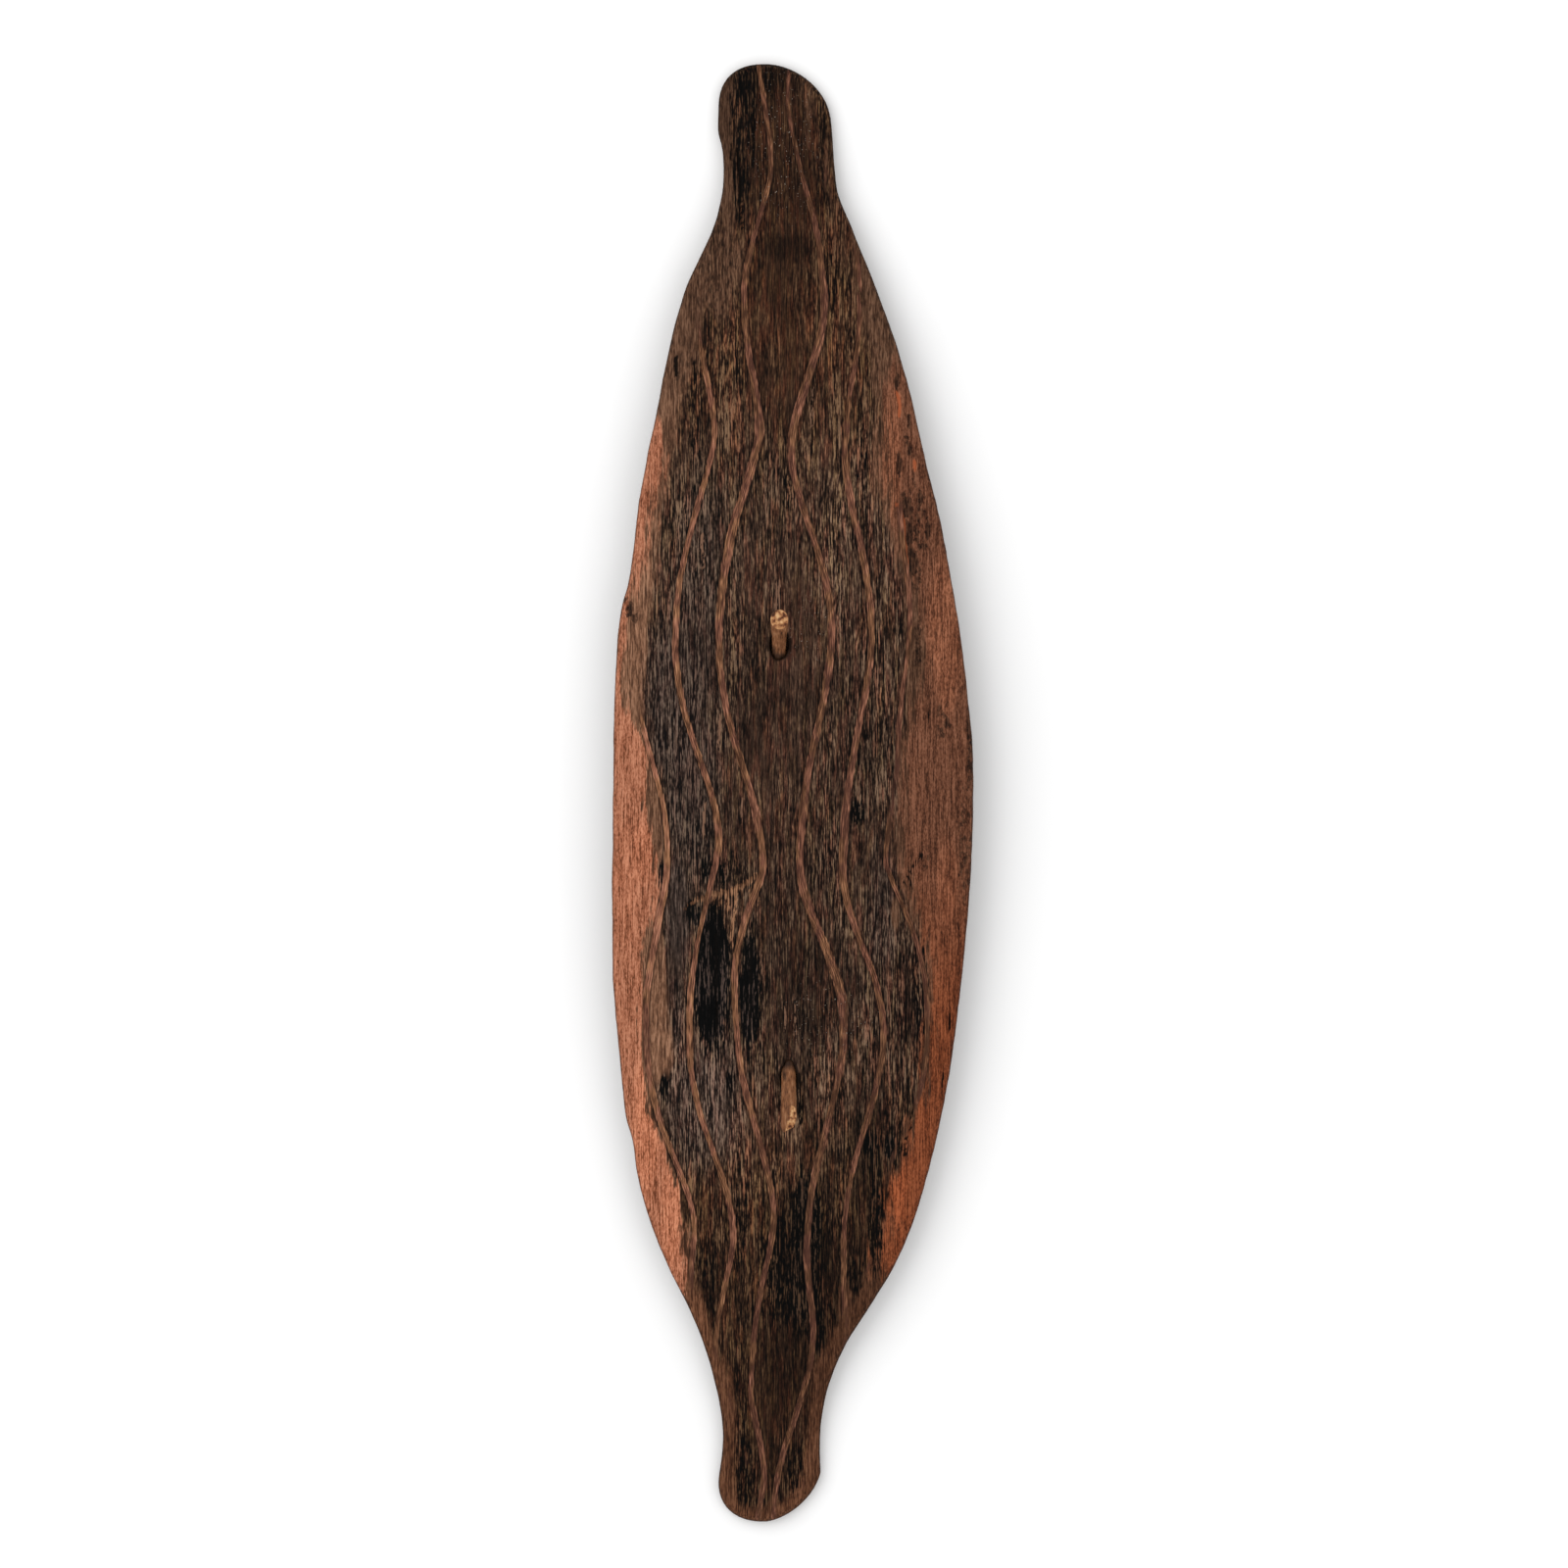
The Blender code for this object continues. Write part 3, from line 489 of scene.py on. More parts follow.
def smooth_through(knots, at):
    """The height at a place of a smooth curve through knots, by cubics with centred slopes."""
    x, y = np.array(knots).T
    slopes = np.gradient(y, x)
    left = np.clip(np.searchsorted(x, at) - 1, 0, len(x) - 2)
    width = x[left + 1] - x[left]
    s = np.clip((at - x[left]) / width, 0.0, 1.0)
    start = (1 + 2 * s) * (1 - s) ** 2 * y[left] + s * (1 - s) ** 2 * width * slopes[left]
    end = s**2 * (3 - 2 * s) * y[left + 1] + s**2 * (s - 1) * width * slopes[left + 1]
    return start + end


def smooth_step(low, high, at):
    """0 below low and 1 above high, with an even ease between."""
    s = np.clip((at - low) / (high - low), 0.0, 1.0)
    return s * s * (3 - 2 * s)


def soft_noise(x, y, cell_x, cell_y, seed):
    """Smooth noise between -1 and 1 that changes over cells of that size."""
    lattice = np.random.default_rng(seed).uniform(-1.0, 1.0, (NOISE_CELLS, NOISE_CELLS))
    u, v = x / cell_x + NOISE_SHIFT, y / cell_y + NOISE_SHIFT
    i, j = np.floor(u).astype(int), np.floor(v).astype(int)
    s, t = u - i, v - j
    s, t = s * s * (3 - 2 * s), t * t * (3 - 2 * t)
    corners = [lattice[(i + a) % NOISE_CELLS, (j + b) % NOISE_CELLS] for a in (0, 1) for b in (0, 1)]
    low = corners[0] * (1 - t) + corners[1] * t
    high = corners[2] * (1 - t) + corners[3] * t
    return low * (1 - s) + high * s


def noise_along(y, cell, seed):
    return soft_noise(y * 0, y, 1.0, cell, seed)


def wood_relief(x, y, height, *size_and_seed):
    return height * soft_noise(x, y, *size_and_seed)


def edge_x(knots, roundings, station):
    """The X of one long edge of the board, rounded off to both tips."""
    lower, upper = knots[0][0], knots[-1][0]
    widest = np.abs(smooth_through(knots, np.linspace(lower, upper, 600))).max()
    base = smooth_through(knots, np.clip(station, lower, upper)) / widest
    start = np.where(station > 0, upper, lower)
    tip = np.where(station > 0, UPPER_TIP_OFFSET, LOWER_TIP_OFFSET)
    exponent = np.where(station > 0, roundings[1], roundings[0])
    share = np.clip((np.abs(station) - np.abs(start)) / (1 - np.abs(start)), 0.0, 1.0)
    return HALF_WIDTH * (tip + (base - tip) * (1 - share**exponent) ** (1 / exponent))


def edges(station):
    """The X of the left edge and of the right one."""
    return edge_x(LEFT_EDGE, LEFT_ROUNDINGS, station), edge_x(RIGHT_EDGE, RIGHT_ROUNDINGS, station)


def worn_edges(station):
    """Both edges as they have worn: slightly uneven, with small chips, but whole around the tips."""
    left, right = edges(station)
    return left + edge_wear(station, 31), right - edge_wear(station, 32)


def edge_wear(station, seed):
    y = station * HALF_LENGTH
    waves = WEAR_DEPTH * noise_along(y, WEAR_LENGTH, seed)
    chips = CHIP_DEPTH * noise_along(y, CHIP_LENGTH, seed + 10)
    return (waves + chips) * (1 - smooth_step(*WHOLE_TIPS, np.abs(station)))


def middle_x(station):
    left, right = edges(inside_lobes(station))
    return (left + right) / 2


def half_width(station):
    left, right = edges(inside_lobes(station))
    return (right - left) / 2


def inside_lobes(station):
    reach = LEFT_EDGE[-1][0]
    return np.clip(station, -reach, reach)


def bow_share(station):
    """How far the board's long section has dropped at a station, as a share of the bow."""
    reach = np.abs(station)
    ease = LOBE_STATION / (1 - LOBE_STATION)
    whole = LOBE_STATION**2 / 2 + LOBE_STATION * (1 - LOBE_STATION) / 2
    past = np.maximum(reach - LOBE_STATION, 0.0)
    curved = np.minimum(reach, LOBE_STATION) ** 2 / 2
    return (curved + LOBE_STATION * past - ease * past**2 / 2) / whole


def thickness(station):
    towards_lobe = smooth_step(LOBE_TAPER_STATION, LOBE_STATION, np.abs(station))
    return BOARD_THICKNESS + (LOBE_THICKNESS - BOARD_THICKNESS) * towards_lobe


def front_z(x, station):
    drop = CROWN * ((x - middle_x(station)) / HALF_WIDTH) ** 2
    return BOARD_TOP - BOW * bow_share(station) - drop


def back_z(x, station):
    across = ((x - middle_x(station)) / half_width(station)) ** 2
    crown_here = CROWN * (half_width(station) / HALF_WIDTH) ** 2
    hollow = crown_here + RIM_THICKNESS - thickness(station)
    return BOARD_TOP - BOW * bow_share(station) - thickness(station) - hollow * across


def wave_offset(turns, station):
    """The offset of a wavy groove at each station."""
    offset = np.full(station.shape, turns[0][1])
    for (start, from_offset, lead), (end, to_offset, _) in zip(turns, turns[1:]):
        share = np.clip((start - station) / (start - end), 0.0, 1.0) ** lead
        half_wave = from_offset + (to_offset - from_offset) * (1 - np.cos(pi * share)) / 2
        offset = np.where(station < start, half_wave, offset)
    return offset


def cut_share(cut, station, run_out):
    """1 where a groove has its full depth and 0 where it isn't cut."""
    upper, lower = cut
    reach = run_out / HALF_LENGTH
    opening = smooth_step(-upper, -upper + reach, -station)
    return opening * (1 - smooth_step(-lower - reach, -lower, -station))


def groove_paths(station):
    """Each groove's middle X, half widths left and right, how deep it is cut, and how clear."""
    y = station * HALF_LENGTH
    left, right = edges(station)
    beyond = SPREAD_RUN / HALF_LENGTH
    middles = {name: wave_offset(turns, station) * HALF_WIDTH for name, (_, turns, *_) in GROOVES.items()}
    for name, (inner, share) in SPREAD.items():
        edge = left if inner == "inner_left" else right
        spread = middles[inner] + (edge - middles[inner]) * share
        upper, lower = GROOVES[name][0]
        held = cut_share((upper + beyond, lower - beyond), station, SPREAD_RUN)
        middles[name] = spread + (middles[name] - spread) * held
    paths = []
    for number, (name, (cut, _, breadths, clarities)) in enumerate(GROOVES.items()):
        seed = 40 + 3 * number
        middle = middles[name] + GROOVE_WANDER * noise_along(y, WANDER_LENGTH, seed)
        slow = 1 + GROOVE_SWELL * noise_along(y, SWELL_LENGTH, seed + 5)
        half = smooth_through(GROOVE_WIDTHS, station) / 2 * np.interp(station, *np.array(breadths).T)
        ragged = (GROOVE_RAGGEDNESS * noise_along(y, RAGGED_LENGTH, seed + side) for side in (1, 2))
        lefts, rights = (half * (slow + change) for change in ragged)
        shown = cut_share(cut, station, GROOVE_RUN_OUT)
        clarity = shown * np.interp(station, *np.array(clarities).T)
        paths.append((middle, lefts, rights, shown, clarity))
    return paths


def groove_measure(x, station):
    """The nearest groove: 1 in its middle to 0 at its lip, its cut, its clarity, and the way across."""
    best = np.full(x.shape, -9.0)
    nearest = np.zeros((3, *x.shape))
    for middle, lefts, rights, cut, clarity in groove_paths(station):
        inside = 1 - np.abs(x - middle) / np.where(x < middle, lefts, rights)
        nearest = np.where(inside > best, (cut, clarity, x - middle), nearest)
        best = np.maximum(best, inside)
    cut, clarity, across = nearest
    return np.maximum(best, -1.0), cut, clarity, np.clip(across, -FOLLOWED, FOLLOWED)


def on_board(column, row):
    """The X and Y of a pixel of the photograph."""
    return (column - CENTRE_PIXEL) * PIXEL, (CENTRE_PIXEL - row) * PIXEL


def blotches(x, y, marks):
    """How strongly soft-edged marks cover each point."""
    cover = np.zeros(x.shape)
    for column, row, half_columns, half_rows, strength in marks:
        centre_x, centre_y = on_board(column, row)
        across, along = (x - centre_x) / (half_columns * PIXEL), (y - centre_y) / (half_rows * PIXEL)
        reach = np.sqrt(across**2 + along**2)
        cover = np.maximum(cover, strength * (1 - smooth_step(*ROUND_FADE, reach)))
    return cover


def strokes(x, y, marks):
    """How strongly marks that follow lines cover each point."""
    cover = np.zeros(x.shape)
    for width, strength, *places in marks:
        points = [on_board(*place) for place in places]
        nearest = np.full(x.shape, 1.0)
        for (ax, ay), (bx, by) in zip(points, points[1:]):
            length = (bx - ax) ** 2 + (by - ay) ** 2
            share = np.clip(((x - ax) * (bx - ax) + (y - ay) * (by - ay)) / length, 0.0, 1.0)
            away = np.hypot(x - ax - share * (bx - ax), y - ay - share * (by - ay))
            nearest = np.minimum(nearest, away)
        start, stop = (share * (width / 2 * PIXEL) for share in STROKE_FADE)
        cover = np.maximum(cover, strength * (1 - smooth_step(start, stop, nearest)))
    return cover


def margin_reach(x, y):
    """How far inside the ochre margins each point is, in metres, and the same for the brown ones."""
    row = CENTRE_PIXEL - y / PIXEL
    ochre, band = [], []
    for side, ochre_edge, band_edge in ((-1, LEFT_OCHRE, LEFT_BAND), (1, RIGHT_OCHRE, RIGHT_BAND)):
        here = (row > ochre_edge[0][0]) & (row < ochre_edge[-1][0])
        edge = (smooth_through(ochre_edge, row) - CENTRE_PIXEL) * PIXEL
        ochre.append(np.where(here, side * (x - edge), -FAR_OUTSIDE))
        band.append(side * (x - (smooth_through(band_edge, row) - CENTRE_PIXEL) * PIXEL))
    first, last = LEFT_BAND[0][0], LEFT_BAND[-1][0]
    whole = smooth_step(first, first + UPPER_RECESS_ROWS, row)
    whole = whole * (1 - smooth_step(last - LOWER_RECESS_ROWS, last, row))
    return np.maximum(*ochre), np.maximum(*band) - BAND_RECESS * (1 - whole)


def lobe_margins(x, y, rim):
    """How far inside the brown margins that follow the lobes' rims each point is, in metres."""
    station = y / HALF_LENGTH
    lower = LOWER_LOBE_MARGIN * (1 - LOWER_LOBE_THINNING * smooth_step(*LOWER_LOBE_END, -station)) - rim
    upper = UPPER_LOBE_MARGIN * (1 - smooth_step(*UPPER_LOBE_END, station)) - rim
    lower = lower - FAR_OUTSIDE * (1 - smooth_step(*LOWER_LOBE_START, -station))
    away = 1 - smooth_step(*UPPER_LOBE_START, station)
    away = np.maximum(away, smooth_step(*LEFT_OF_MIDDLE, x - middle_x(station)))
    return np.maximum(lower, upper - FAR_OUTSIDE * away)


def row_stations():
    """Stations of the cross-sections, close together at the tips and around the holes."""
    shoulder = HALF_LENGTH - TIP_ROWS[-1]
    fine = np.linspace(-shoulder, shoulder, ROW_STEPS)
    density = np.full(fine.shape, 1 / ROW_SPACING)
    for station, _ in (UPPER_HOLE, LOWER_HOLE):
        near = 1 - smooth_step(*HOLE_ROW_EASE, np.abs(fine - station * HALF_LENGTH) / HOLE_ROW_REACH)
        density += near * (1 / HOLE_ROW_SPACING - 1 / ROW_SPACING)
    total = np.concatenate([[0.0], np.cumsum((density[1:] + density[:-1]) / 2 * np.diff(fine))])
    even = np.interp(np.linspace(0, total[-1], round(total[-1]) + 1), total, fine)
    near_tip = HALF_LENGTH - np.array(TIP_ROWS[:-1])
    return np.concatenate([-near_tip, even, near_tip[::-1]]) / HALF_LENGTH


def front_columns(stations):
    """The X of every front column in every row, following the grooves."""
    shoulder = 1 - TIP_ROWS[-1] / HALF_LENGTH
    held = np.clip(stations, -shoulder, shoulder)
    left, right = worn_edges(held)
    columns = [left + RIM_ROUNDING * share for share in RIM_COLUMNS]
    far_rim = [right - RIM_ROUNDING * share for share in reversed(RIM_COLUMNS)]
    runs = [
        [middle + share * np.where(share < 0, lefts, rights) for share in GROOVE_COLUMNS]
        for middle, lefts, rights, *_ in groove_paths(held)
    ]
    for extra, run in zip(COLUMNS_BETWEEN, [*runs, far_rim]):
        start = columns[-1]
        columns += [start + (run[0] - start) * (k + 1) / (extra + 1) for k in range(extra)]
        columns += run
    xs = np.stack(columns, axis=1)
    steps = np.arange(xs.shape[1])[None, :]
    gap = np.minimum(NARROWEST_COLUMN, (right - left) / xs.shape[1] / 2)[:, None]
    xs = np.maximum.accumulate(xs - steps * gap, axis=1) + steps * gap
    return np.minimum(xs, right[:, None] - steps[:, ::-1] * gap)


def front_relief(x, station):
    """How far the worn front stands off its smooth form."""
    y = station * HALF_LENGTH
    weathered = 1 - OCHRE_SMOOTHNESS * smooth_step(*OCHRE_EDGE, np.maximum(*margin_reach(x, y)))
    pits = np.clip((wood_relief(x, y, *PITS) - 0.45) / 0.4, 0.0, 1.0)
    inside, cut, clarity, _ = groove_measure(x, station)
    carved = np.clip(inside, 0.0, 1.0)
    depth = GROOVE_DEPTH * (FAINT_DEPTH * cut + (1 - FAINT_DEPTH) * clarity)
    groove = depth * smooth_step(0.0, GROOVE_FLOOR, carved)
    lip = LIP_HEIGHT * cut * np.exp(-(((inside + LIP_PLACE) / LIP_BREADTH) ** 2))
    clear = 1 - np.clip(carved * cut * 1.5, 0.0, 1.0)
    ridges = wood_relief(x, y, *RIDGES) + wood_relief(x, y, *FIBRES)
    relief = wood_relief(x, y, *ROLLING) + ridges * weathered * clear + lip * weathered
    relief = relief - pits * PIT_DEPTH * weathered * clear - groove
    relief = relief - strokes(x, y, STROKES["gashes_and_painted_shadow"]) * GASH_DEPTH
    relief = relief - blotches(x, y, BLOTCHES["charred"]) * CHAR_DEPTH * clear
    relief = relief - blotches(x, y, BLOTCHES["knots"]) * KNOT_DEPTH
    relief = relief - strokes(x, y, STROKES["scar"]) * SCAR_DEPTH
    return relief - SCOOP_DEPTH * blotches(x, y, SCOOP)


def back_relief(x, station):
    """Shallow scallops left by the tool that hollowed the back, with some grain."""
    y = station * HALF_LENGTH
    deep = np.zeros(x.shape)
    rng = np.random.default_rng(SCALLOP_SEED)
    for _ in range(SCALLOPS):
        cx, cy = rng.uniform(-HALF_WIDTH, HALF_WIDTH), rng.uniform(-HALF_LENGTH, HALF_LENGTH)
        half_x, half_y = rng.uniform(*SCALLOP_HALF_WIDTHS), rng.uniform(*SCALLOP_HALF_LENGTHS)
        reach = ((x - cx) / half_x) ** 2 + ((y - cy) / half_y) ** 2
        deep = np.maximum(deep, SCALLOP_DEPTH * np.clip(1 - reach, 0.0, 1.0))
    return deep + wood_relief(x, y, *BACK_GRAIN)


def rim_distance(x, y):
    """How far each point is inside the board's outline."""
    fine = np.cos(np.linspace(0, pi, OUTLINE_POINTS))
    tree = kdtree.KDTree(2 * len(fine))
    for number, (*both, station) in enumerate(zip(*worn_edges(fine), fine)):
        for side, edge in enumerate(both):
            tree.insert((edge, station * HALF_LENGTH, 0.0), 2 * number + side)
    tree.balance()
    return np.array([tree.find((a, b, 0.0))[2] for a, b in zip(x.tolist(), y.tolist())])


def board_grid(stations):
    """Every point's X and row, the front's first, and each row's points across the front and back."""
    left, right = worn_edges(stations)
    xs = front_columns(stations)
    past_left = xs > left[:, None] + SAME_PLACE
    inside = past_left & (xs < right[:, None] - SAME_PLACE)
    inside[:, 0] = inside[:, -1] = False
    fronts = [[a, *across[here], b] for a, across, here, b in zip(left, xs, inside, right)]
    counts = [len(front) for front in fronts]
    starts = np.cumsum([0, *counts])
    front_index = starts[:-1, None] + np.cumsum(inside, axis=1) + (past_left & ~inside)
    inset = np.array(RIM_COLUMNS[1:]) * np.minimum(RIM_ROUNDING, (right - left) / 4)[:, None]
    ends = left + inset[:, -1], right - inset[:, -1]
    plain = np.linspace(*ends, BACK_COLUMNS + 2, axis=1)[:, 1:-1]
    backs = np.hstack([left[:, None] + inset, plain, (right[:, None] - inset)[:, ::-1]])
    back_index = starts[-1] + np.arange(backs.size).reshape(backs.shape)
    back_index = np.hstack([front_index[:, :1], back_index, front_index[:, -1:]])
    rows = np.arange(len(stations))
    row = np.concatenate([np.repeat(rows, counts), np.repeat(rows, backs.shape[1])])
    return np.concatenate([*fronts, backs.ravel()]), row, front_index, back_index


def rim_round(distance):
    inside = np.clip(1 - distance / RIM_ROUNDING, 0.0, 1.0)
    return 1 - np.sqrt(1 - inside**2)


def make_board():
    """The board's mesh: a closely meshed front and a plainer back that share the outline."""
    stations = row_stations()
    x, row, front_index, back_index = board_grid(stations)
    station = stations[row]
    y = station * HALF_LENGTH
    left, right = (edge[row] for edge in worn_edges(stations))
    distance = np.where((x == left) | (x == right), 0.0, rim_distance(x, y))
    front, back = front_z(x, station), back_z(x, station)
    rounding = rim_round(distance)
    give_up = (front - back) / 2 * rounding
    a, b = slice(front_index.max() + 1), slice(front_index.max() + 1, None)
    z = np.empty(len(x))
    z[a] = (front - give_up)[a] + front_relief(x[a], station[a]) * (1 - rounding)[a]
    scalloped = smooth_step(0.0, SCALLOP_START, distance[b])
    z[b] = (back + give_up)[b] + back_relief(x[b], station[b]) * scalloped
    points = np.stack([x, y, np.maximum(z, 0.0)], axis=1).tolist()
    for tip, offset in ((-1.0, LOWER_TIP_OFFSET), (1.0, UPPER_TIP_OFFSET)):
        tip_x = offset * HALF_WIDTH
        middle = (front_z(tip_x, tip) + back_z(tip_x, tip)) / 2
        points.append((tip_x, tip * HALF_LENGTH, float(middle)))
    strips = []
    for index in (front_index, back_index):
        lower_tip, upper_tip = (np.full((1, index.shape[1]), len(x) + n) for n in (0, 1))
        rows = np.vstack([lower_tip, index, upper_tip]).tolist()
        strips.append(list(zip(rows, rows[1:])))
    faces = []
    for number in (*range(1, len(stations)), 0, len(stations)):
        for strip, turn in zip(strips, (1, -1)):
            low, high = strip[number]
            for ring in zip(low, low[1:], high[1:], high):
                face = [point for n, point in enumerate(ring) if point != ring[n - 1]]
                if len(face) > 2:
                    faces.append(face[::turn])
    mesh = bpy.data.meshes.new("board")
    mesh.from_pydata(points, [], faces)
    mesh.validate()
    return add_piece("board", mesh)


def add_piece(name, mesh):
    made = bpy.data.objects.new(name, mesh)
    bpy.context.scene.collection.objects.link(made)
    return made


def add_solid(name, mesh):
    """A piece from an edit mesh, with its faces turned outwards."""
    bmesh.ops.recalc_face_normals(mesh, faces=mesh.faces)
    data = bpy.data.meshes.new(name)
    mesh.to_mesh(data)
    mesh.free()
    return add_piece(name, data)


def join_rings(mesh, ring, next_ring):
    """Four-sided faces all the way round between two rings of points."""
    for n in range(len(ring)):
        m = (n + 1) % len(ring)
        mesh.faces.new((ring[n], ring[m], next_ring[m], next_ring[n]))


class Peg:
    """One end of the stick: where its axis leaves the front, and which way it points."""

    def __init__(self, hole, rise, reach, cut_tilt, side_tilt, diameter, outward, narrowing):
        station, offset = hole
        x = offset * HALF_WIDTH
        self.outward = outward
        self.exit = Vector((x, station * HALF_LENGTH, float(front_z(x, station))))
        self.direction = Vector((0.0, outward * cos(rise), sin(rise)))
        self.radius = diameter / 2
        self.showing = reach / cos(rise)
        self.narrowing = narrowing
        self.end = self.exit + self.direction * self.showing
        self.cut_normal = Vector((sin(side_tilt), outward * sin(cut_tilt), cos(cut_tilt)))
        self.across_hole = self.radius + HOLE_CLEARANCE
        self.along_hole = self.across_hole + HOLE_LENGTHENING
        self.bored_back = float(thickness(station)) / sin(rise) + self.along_hole / tan(rise)
        self.bored_front = self.along_hole / tan(rise) + self.radius
        self.bend_start = self.exit - self.direction * self.bored_back

    def narrowed(self, to_end):
        """The share of its thickness that the stick keeps this far from its end."""
        closing = smooth_step(NARROWING_LENGTH, self.showing, to_end)
        opening = smooth_step(self.showing + NARROWING_LENGTH, self.showing + WIDENING_LENGTH, to_end)
        return 1 - self.narrowing * float(closing * (1 - opening))

    def run(self, crest):
        """Points along the axis from the end, straight through the board, and on to the crest."""
        shares = (n / STICK_STRAIGHT_RINGS for n in range(STICK_STRAIGHT_RINGS))
        straight = [self.end.lerp(self.bend_start, share) for share in shares]
        span = (self.bend_start - crest).length
        handles = (
            crest,
            crest + Vector((0.0, self.outward, 0.0)) * (span * PULL_AT_CREST),
            self.bend_start - self.direction * (span * PULL_AT_BOARD),
            self.bend_start,
        )
        bend = []
        for step in range(STICK_BEND_RINGS, -1, -1):
            t = step / STICK_BEND_RINGS
            weights = ((1 - t) ** 3, 3 * t * (1 - t) ** 2, 3 * t**2 * (1 - t), t**3)
            bend.append(sum((h * w for h, w in zip(handles, weights)), Vector()))
        return straight + bend

    def cut_off(self, rings, last):
        """Slides the points of the outer rings back onto the slanting cut."""
        for ring in rings:
            for n, point in enumerate(ring):
                past = self.cut_normal.dot(point - self.end)
                if past > 0 or ring is last:
                    ring[n] = point - self.direction * (past / self.cut_normal.dot(self.direction))
                if self.outward < 0:
                    ring[n] = trimmed(ring[n], self.direction)


def stick_path(upper, lower):
    """Points along the stick's axis from the upper peg to the lower one."""
    crest_y = CREST_STATION * HALF_LENGTH
    share = (upper.exit.y - crest_y) / (upper.exit.y - lower.exit.y)
    crest_x = upper.exit.x + (lower.exit.x - upper.exit.x) * share
    crest = Vector((crest_x, crest_y, HANDLE_FLOOR_GAP + (upper.radius + lower.radius) / 2))
    return [*upper.run(crest), *lower.run(crest)[-2::-1]]


def make_stick(upper, lower):
    """The stick: a knotty tapering rod along its path, cut off at a slant at both ends."""
    path = stick_path(upper, lower)
    lengths = [0.0]
    for a, b in zip(path, path[1:]):
        lengths.append(lengths[-1] + (b - a).length)
    rings, turns = [], np.linspace(0, 2 * pi, STICK_SIDES, endpoint=False)
    for i, (centre, length) in enumerate(zip(path, lengths)):
        along = (path[min(i + 1, len(path) - 1)] - path[max(i - 1, 0)]).normalized()
        side = Vector((1.0, 0.0, 0.0))
        side = (side - along * side.dot(along)).normalized()
        up = side.cross(along)
        radius = upper.radius + (lower.radius - upper.radius) * (length / lengths[-1])
        radius *= upper.narrowed(length)
        radius *= lower.narrowed(lengths[-1] - length)
        rings.append(
            [
                centre + (side * cos(turn) + up * sin(turn)) * (radius + stick_relief(turn, length))
                for turn in turns
            ]
        )
    upper.cut_off(rings[:CUT_RINGS], rings[0])
    lower.cut_off(rings[-CUT_RINGS:], rings[-1])
    mesh = bmesh.new()
    cut = mesh.verts.layers.float.new("cut")
    radial = mesh.verts.layers.float.new("radial")
    made = [[mesh.verts.new(point) for point in ring] for ring in rings]
    for ring, next_ring in zip(made, made[1:]):
        join_rings(mesh, ring, next_ring)
    for ring, peg in ((made[0], upper), (made[-1], lower)):
        add_cut_face(mesh, ring, peg, cut, radial)
    bmesh.ops.remove_doubles(mesh, verts=mesh.verts, dist=MERGE_DISTANCE)
    stick = add_solid("stick", mesh)
    x, y, _ = np.array([v.co for v in stick.data.vertices]).T
    # Painted shade where the stick goes into the holes, with some soil
    put_attribute(stick.data, "painted_shade_and_soil", strokes(x, y, SHADE_AND_SOIL))
    return stick


def trimmed(point, direction):
    """A point of the lower end, slid back to where the tip is trimmed."""
    (ax, ay), (bx, by) = (on_board(*place) for place in TRIMMED_END)
    outward = Vector((by - ay, ax - bx, 0.0)).normalized()
    past = outward.dot(point - Vector((ax, ay, 0.0)))
    return point - direction * (max(past, 0.0) / outward.dot(direction))


def pale_share(peg, point):
    """1 where a cut face is clean and pale, and 0 where it is as brown as the shaft."""
    if peg.outward > 0:
        return 1.0
    (ax, ay), (bx, by) = (on_board(*place) for place in PALE_FACE)
    line_x = ax + (bx - ax) * (point.y - ay) / (by - ay)
    return float(smooth_step(*PALE_FACE_EDGE, point.x - line_x))


def stick_relief(turn, along):
    """Grain ridges and small knots on the stick, as a change of its radius."""
    around, place = np.array([turn * STICK_MEAN_RADIUS]), np.array([along])
    return sum(wood_relief(around, place, *kind)[0] for kind in (STICK_GRAIN, STICK_LUMPS))


def add_cut_face(mesh, ring, peg, cut, radial):
    """The slanting end of the stick as rings of faces around its pith."""
    centre = sum((v.co for v in ring), Vector()) / len(ring)
    normal = peg.cut_normal.normalized()
    rings = [ring]
    for number in range(1, CUT_FACE_RINGS):
        share = 1 - number / CUT_FACE_RINGS
        points = []
        for vertex in ring:
            flat = centre.lerp(vertex.co, share if number > 1 else CUT_RIM)
            rough = float(wood_relief(np.array([flat.x]), np.array([flat.y]), *CUT_FACE_GRAIN)[0])
            lift = rough - PITH_DEPTH * max(0.0, 1 - share * 4) if number > 1 else 0.0
            points.append(mesh.verts.new(flat + normal * lift))
            points[-1][cut] = pale_share(peg, flat)
            points[-1][radial] = share
        rings.append(points)
    for outer, inner in zip(rings, rings[1:]):
        join_rings(mesh, outer, inner)
    middle = mesh.verts.new(centre - normal * PITH_MIDDLE_DEPTH)
    middle[cut] = 1.0
    for n, point in enumerate(points):
        mesh.faces.new((point, points[(n + 1) % len(points)], middle))


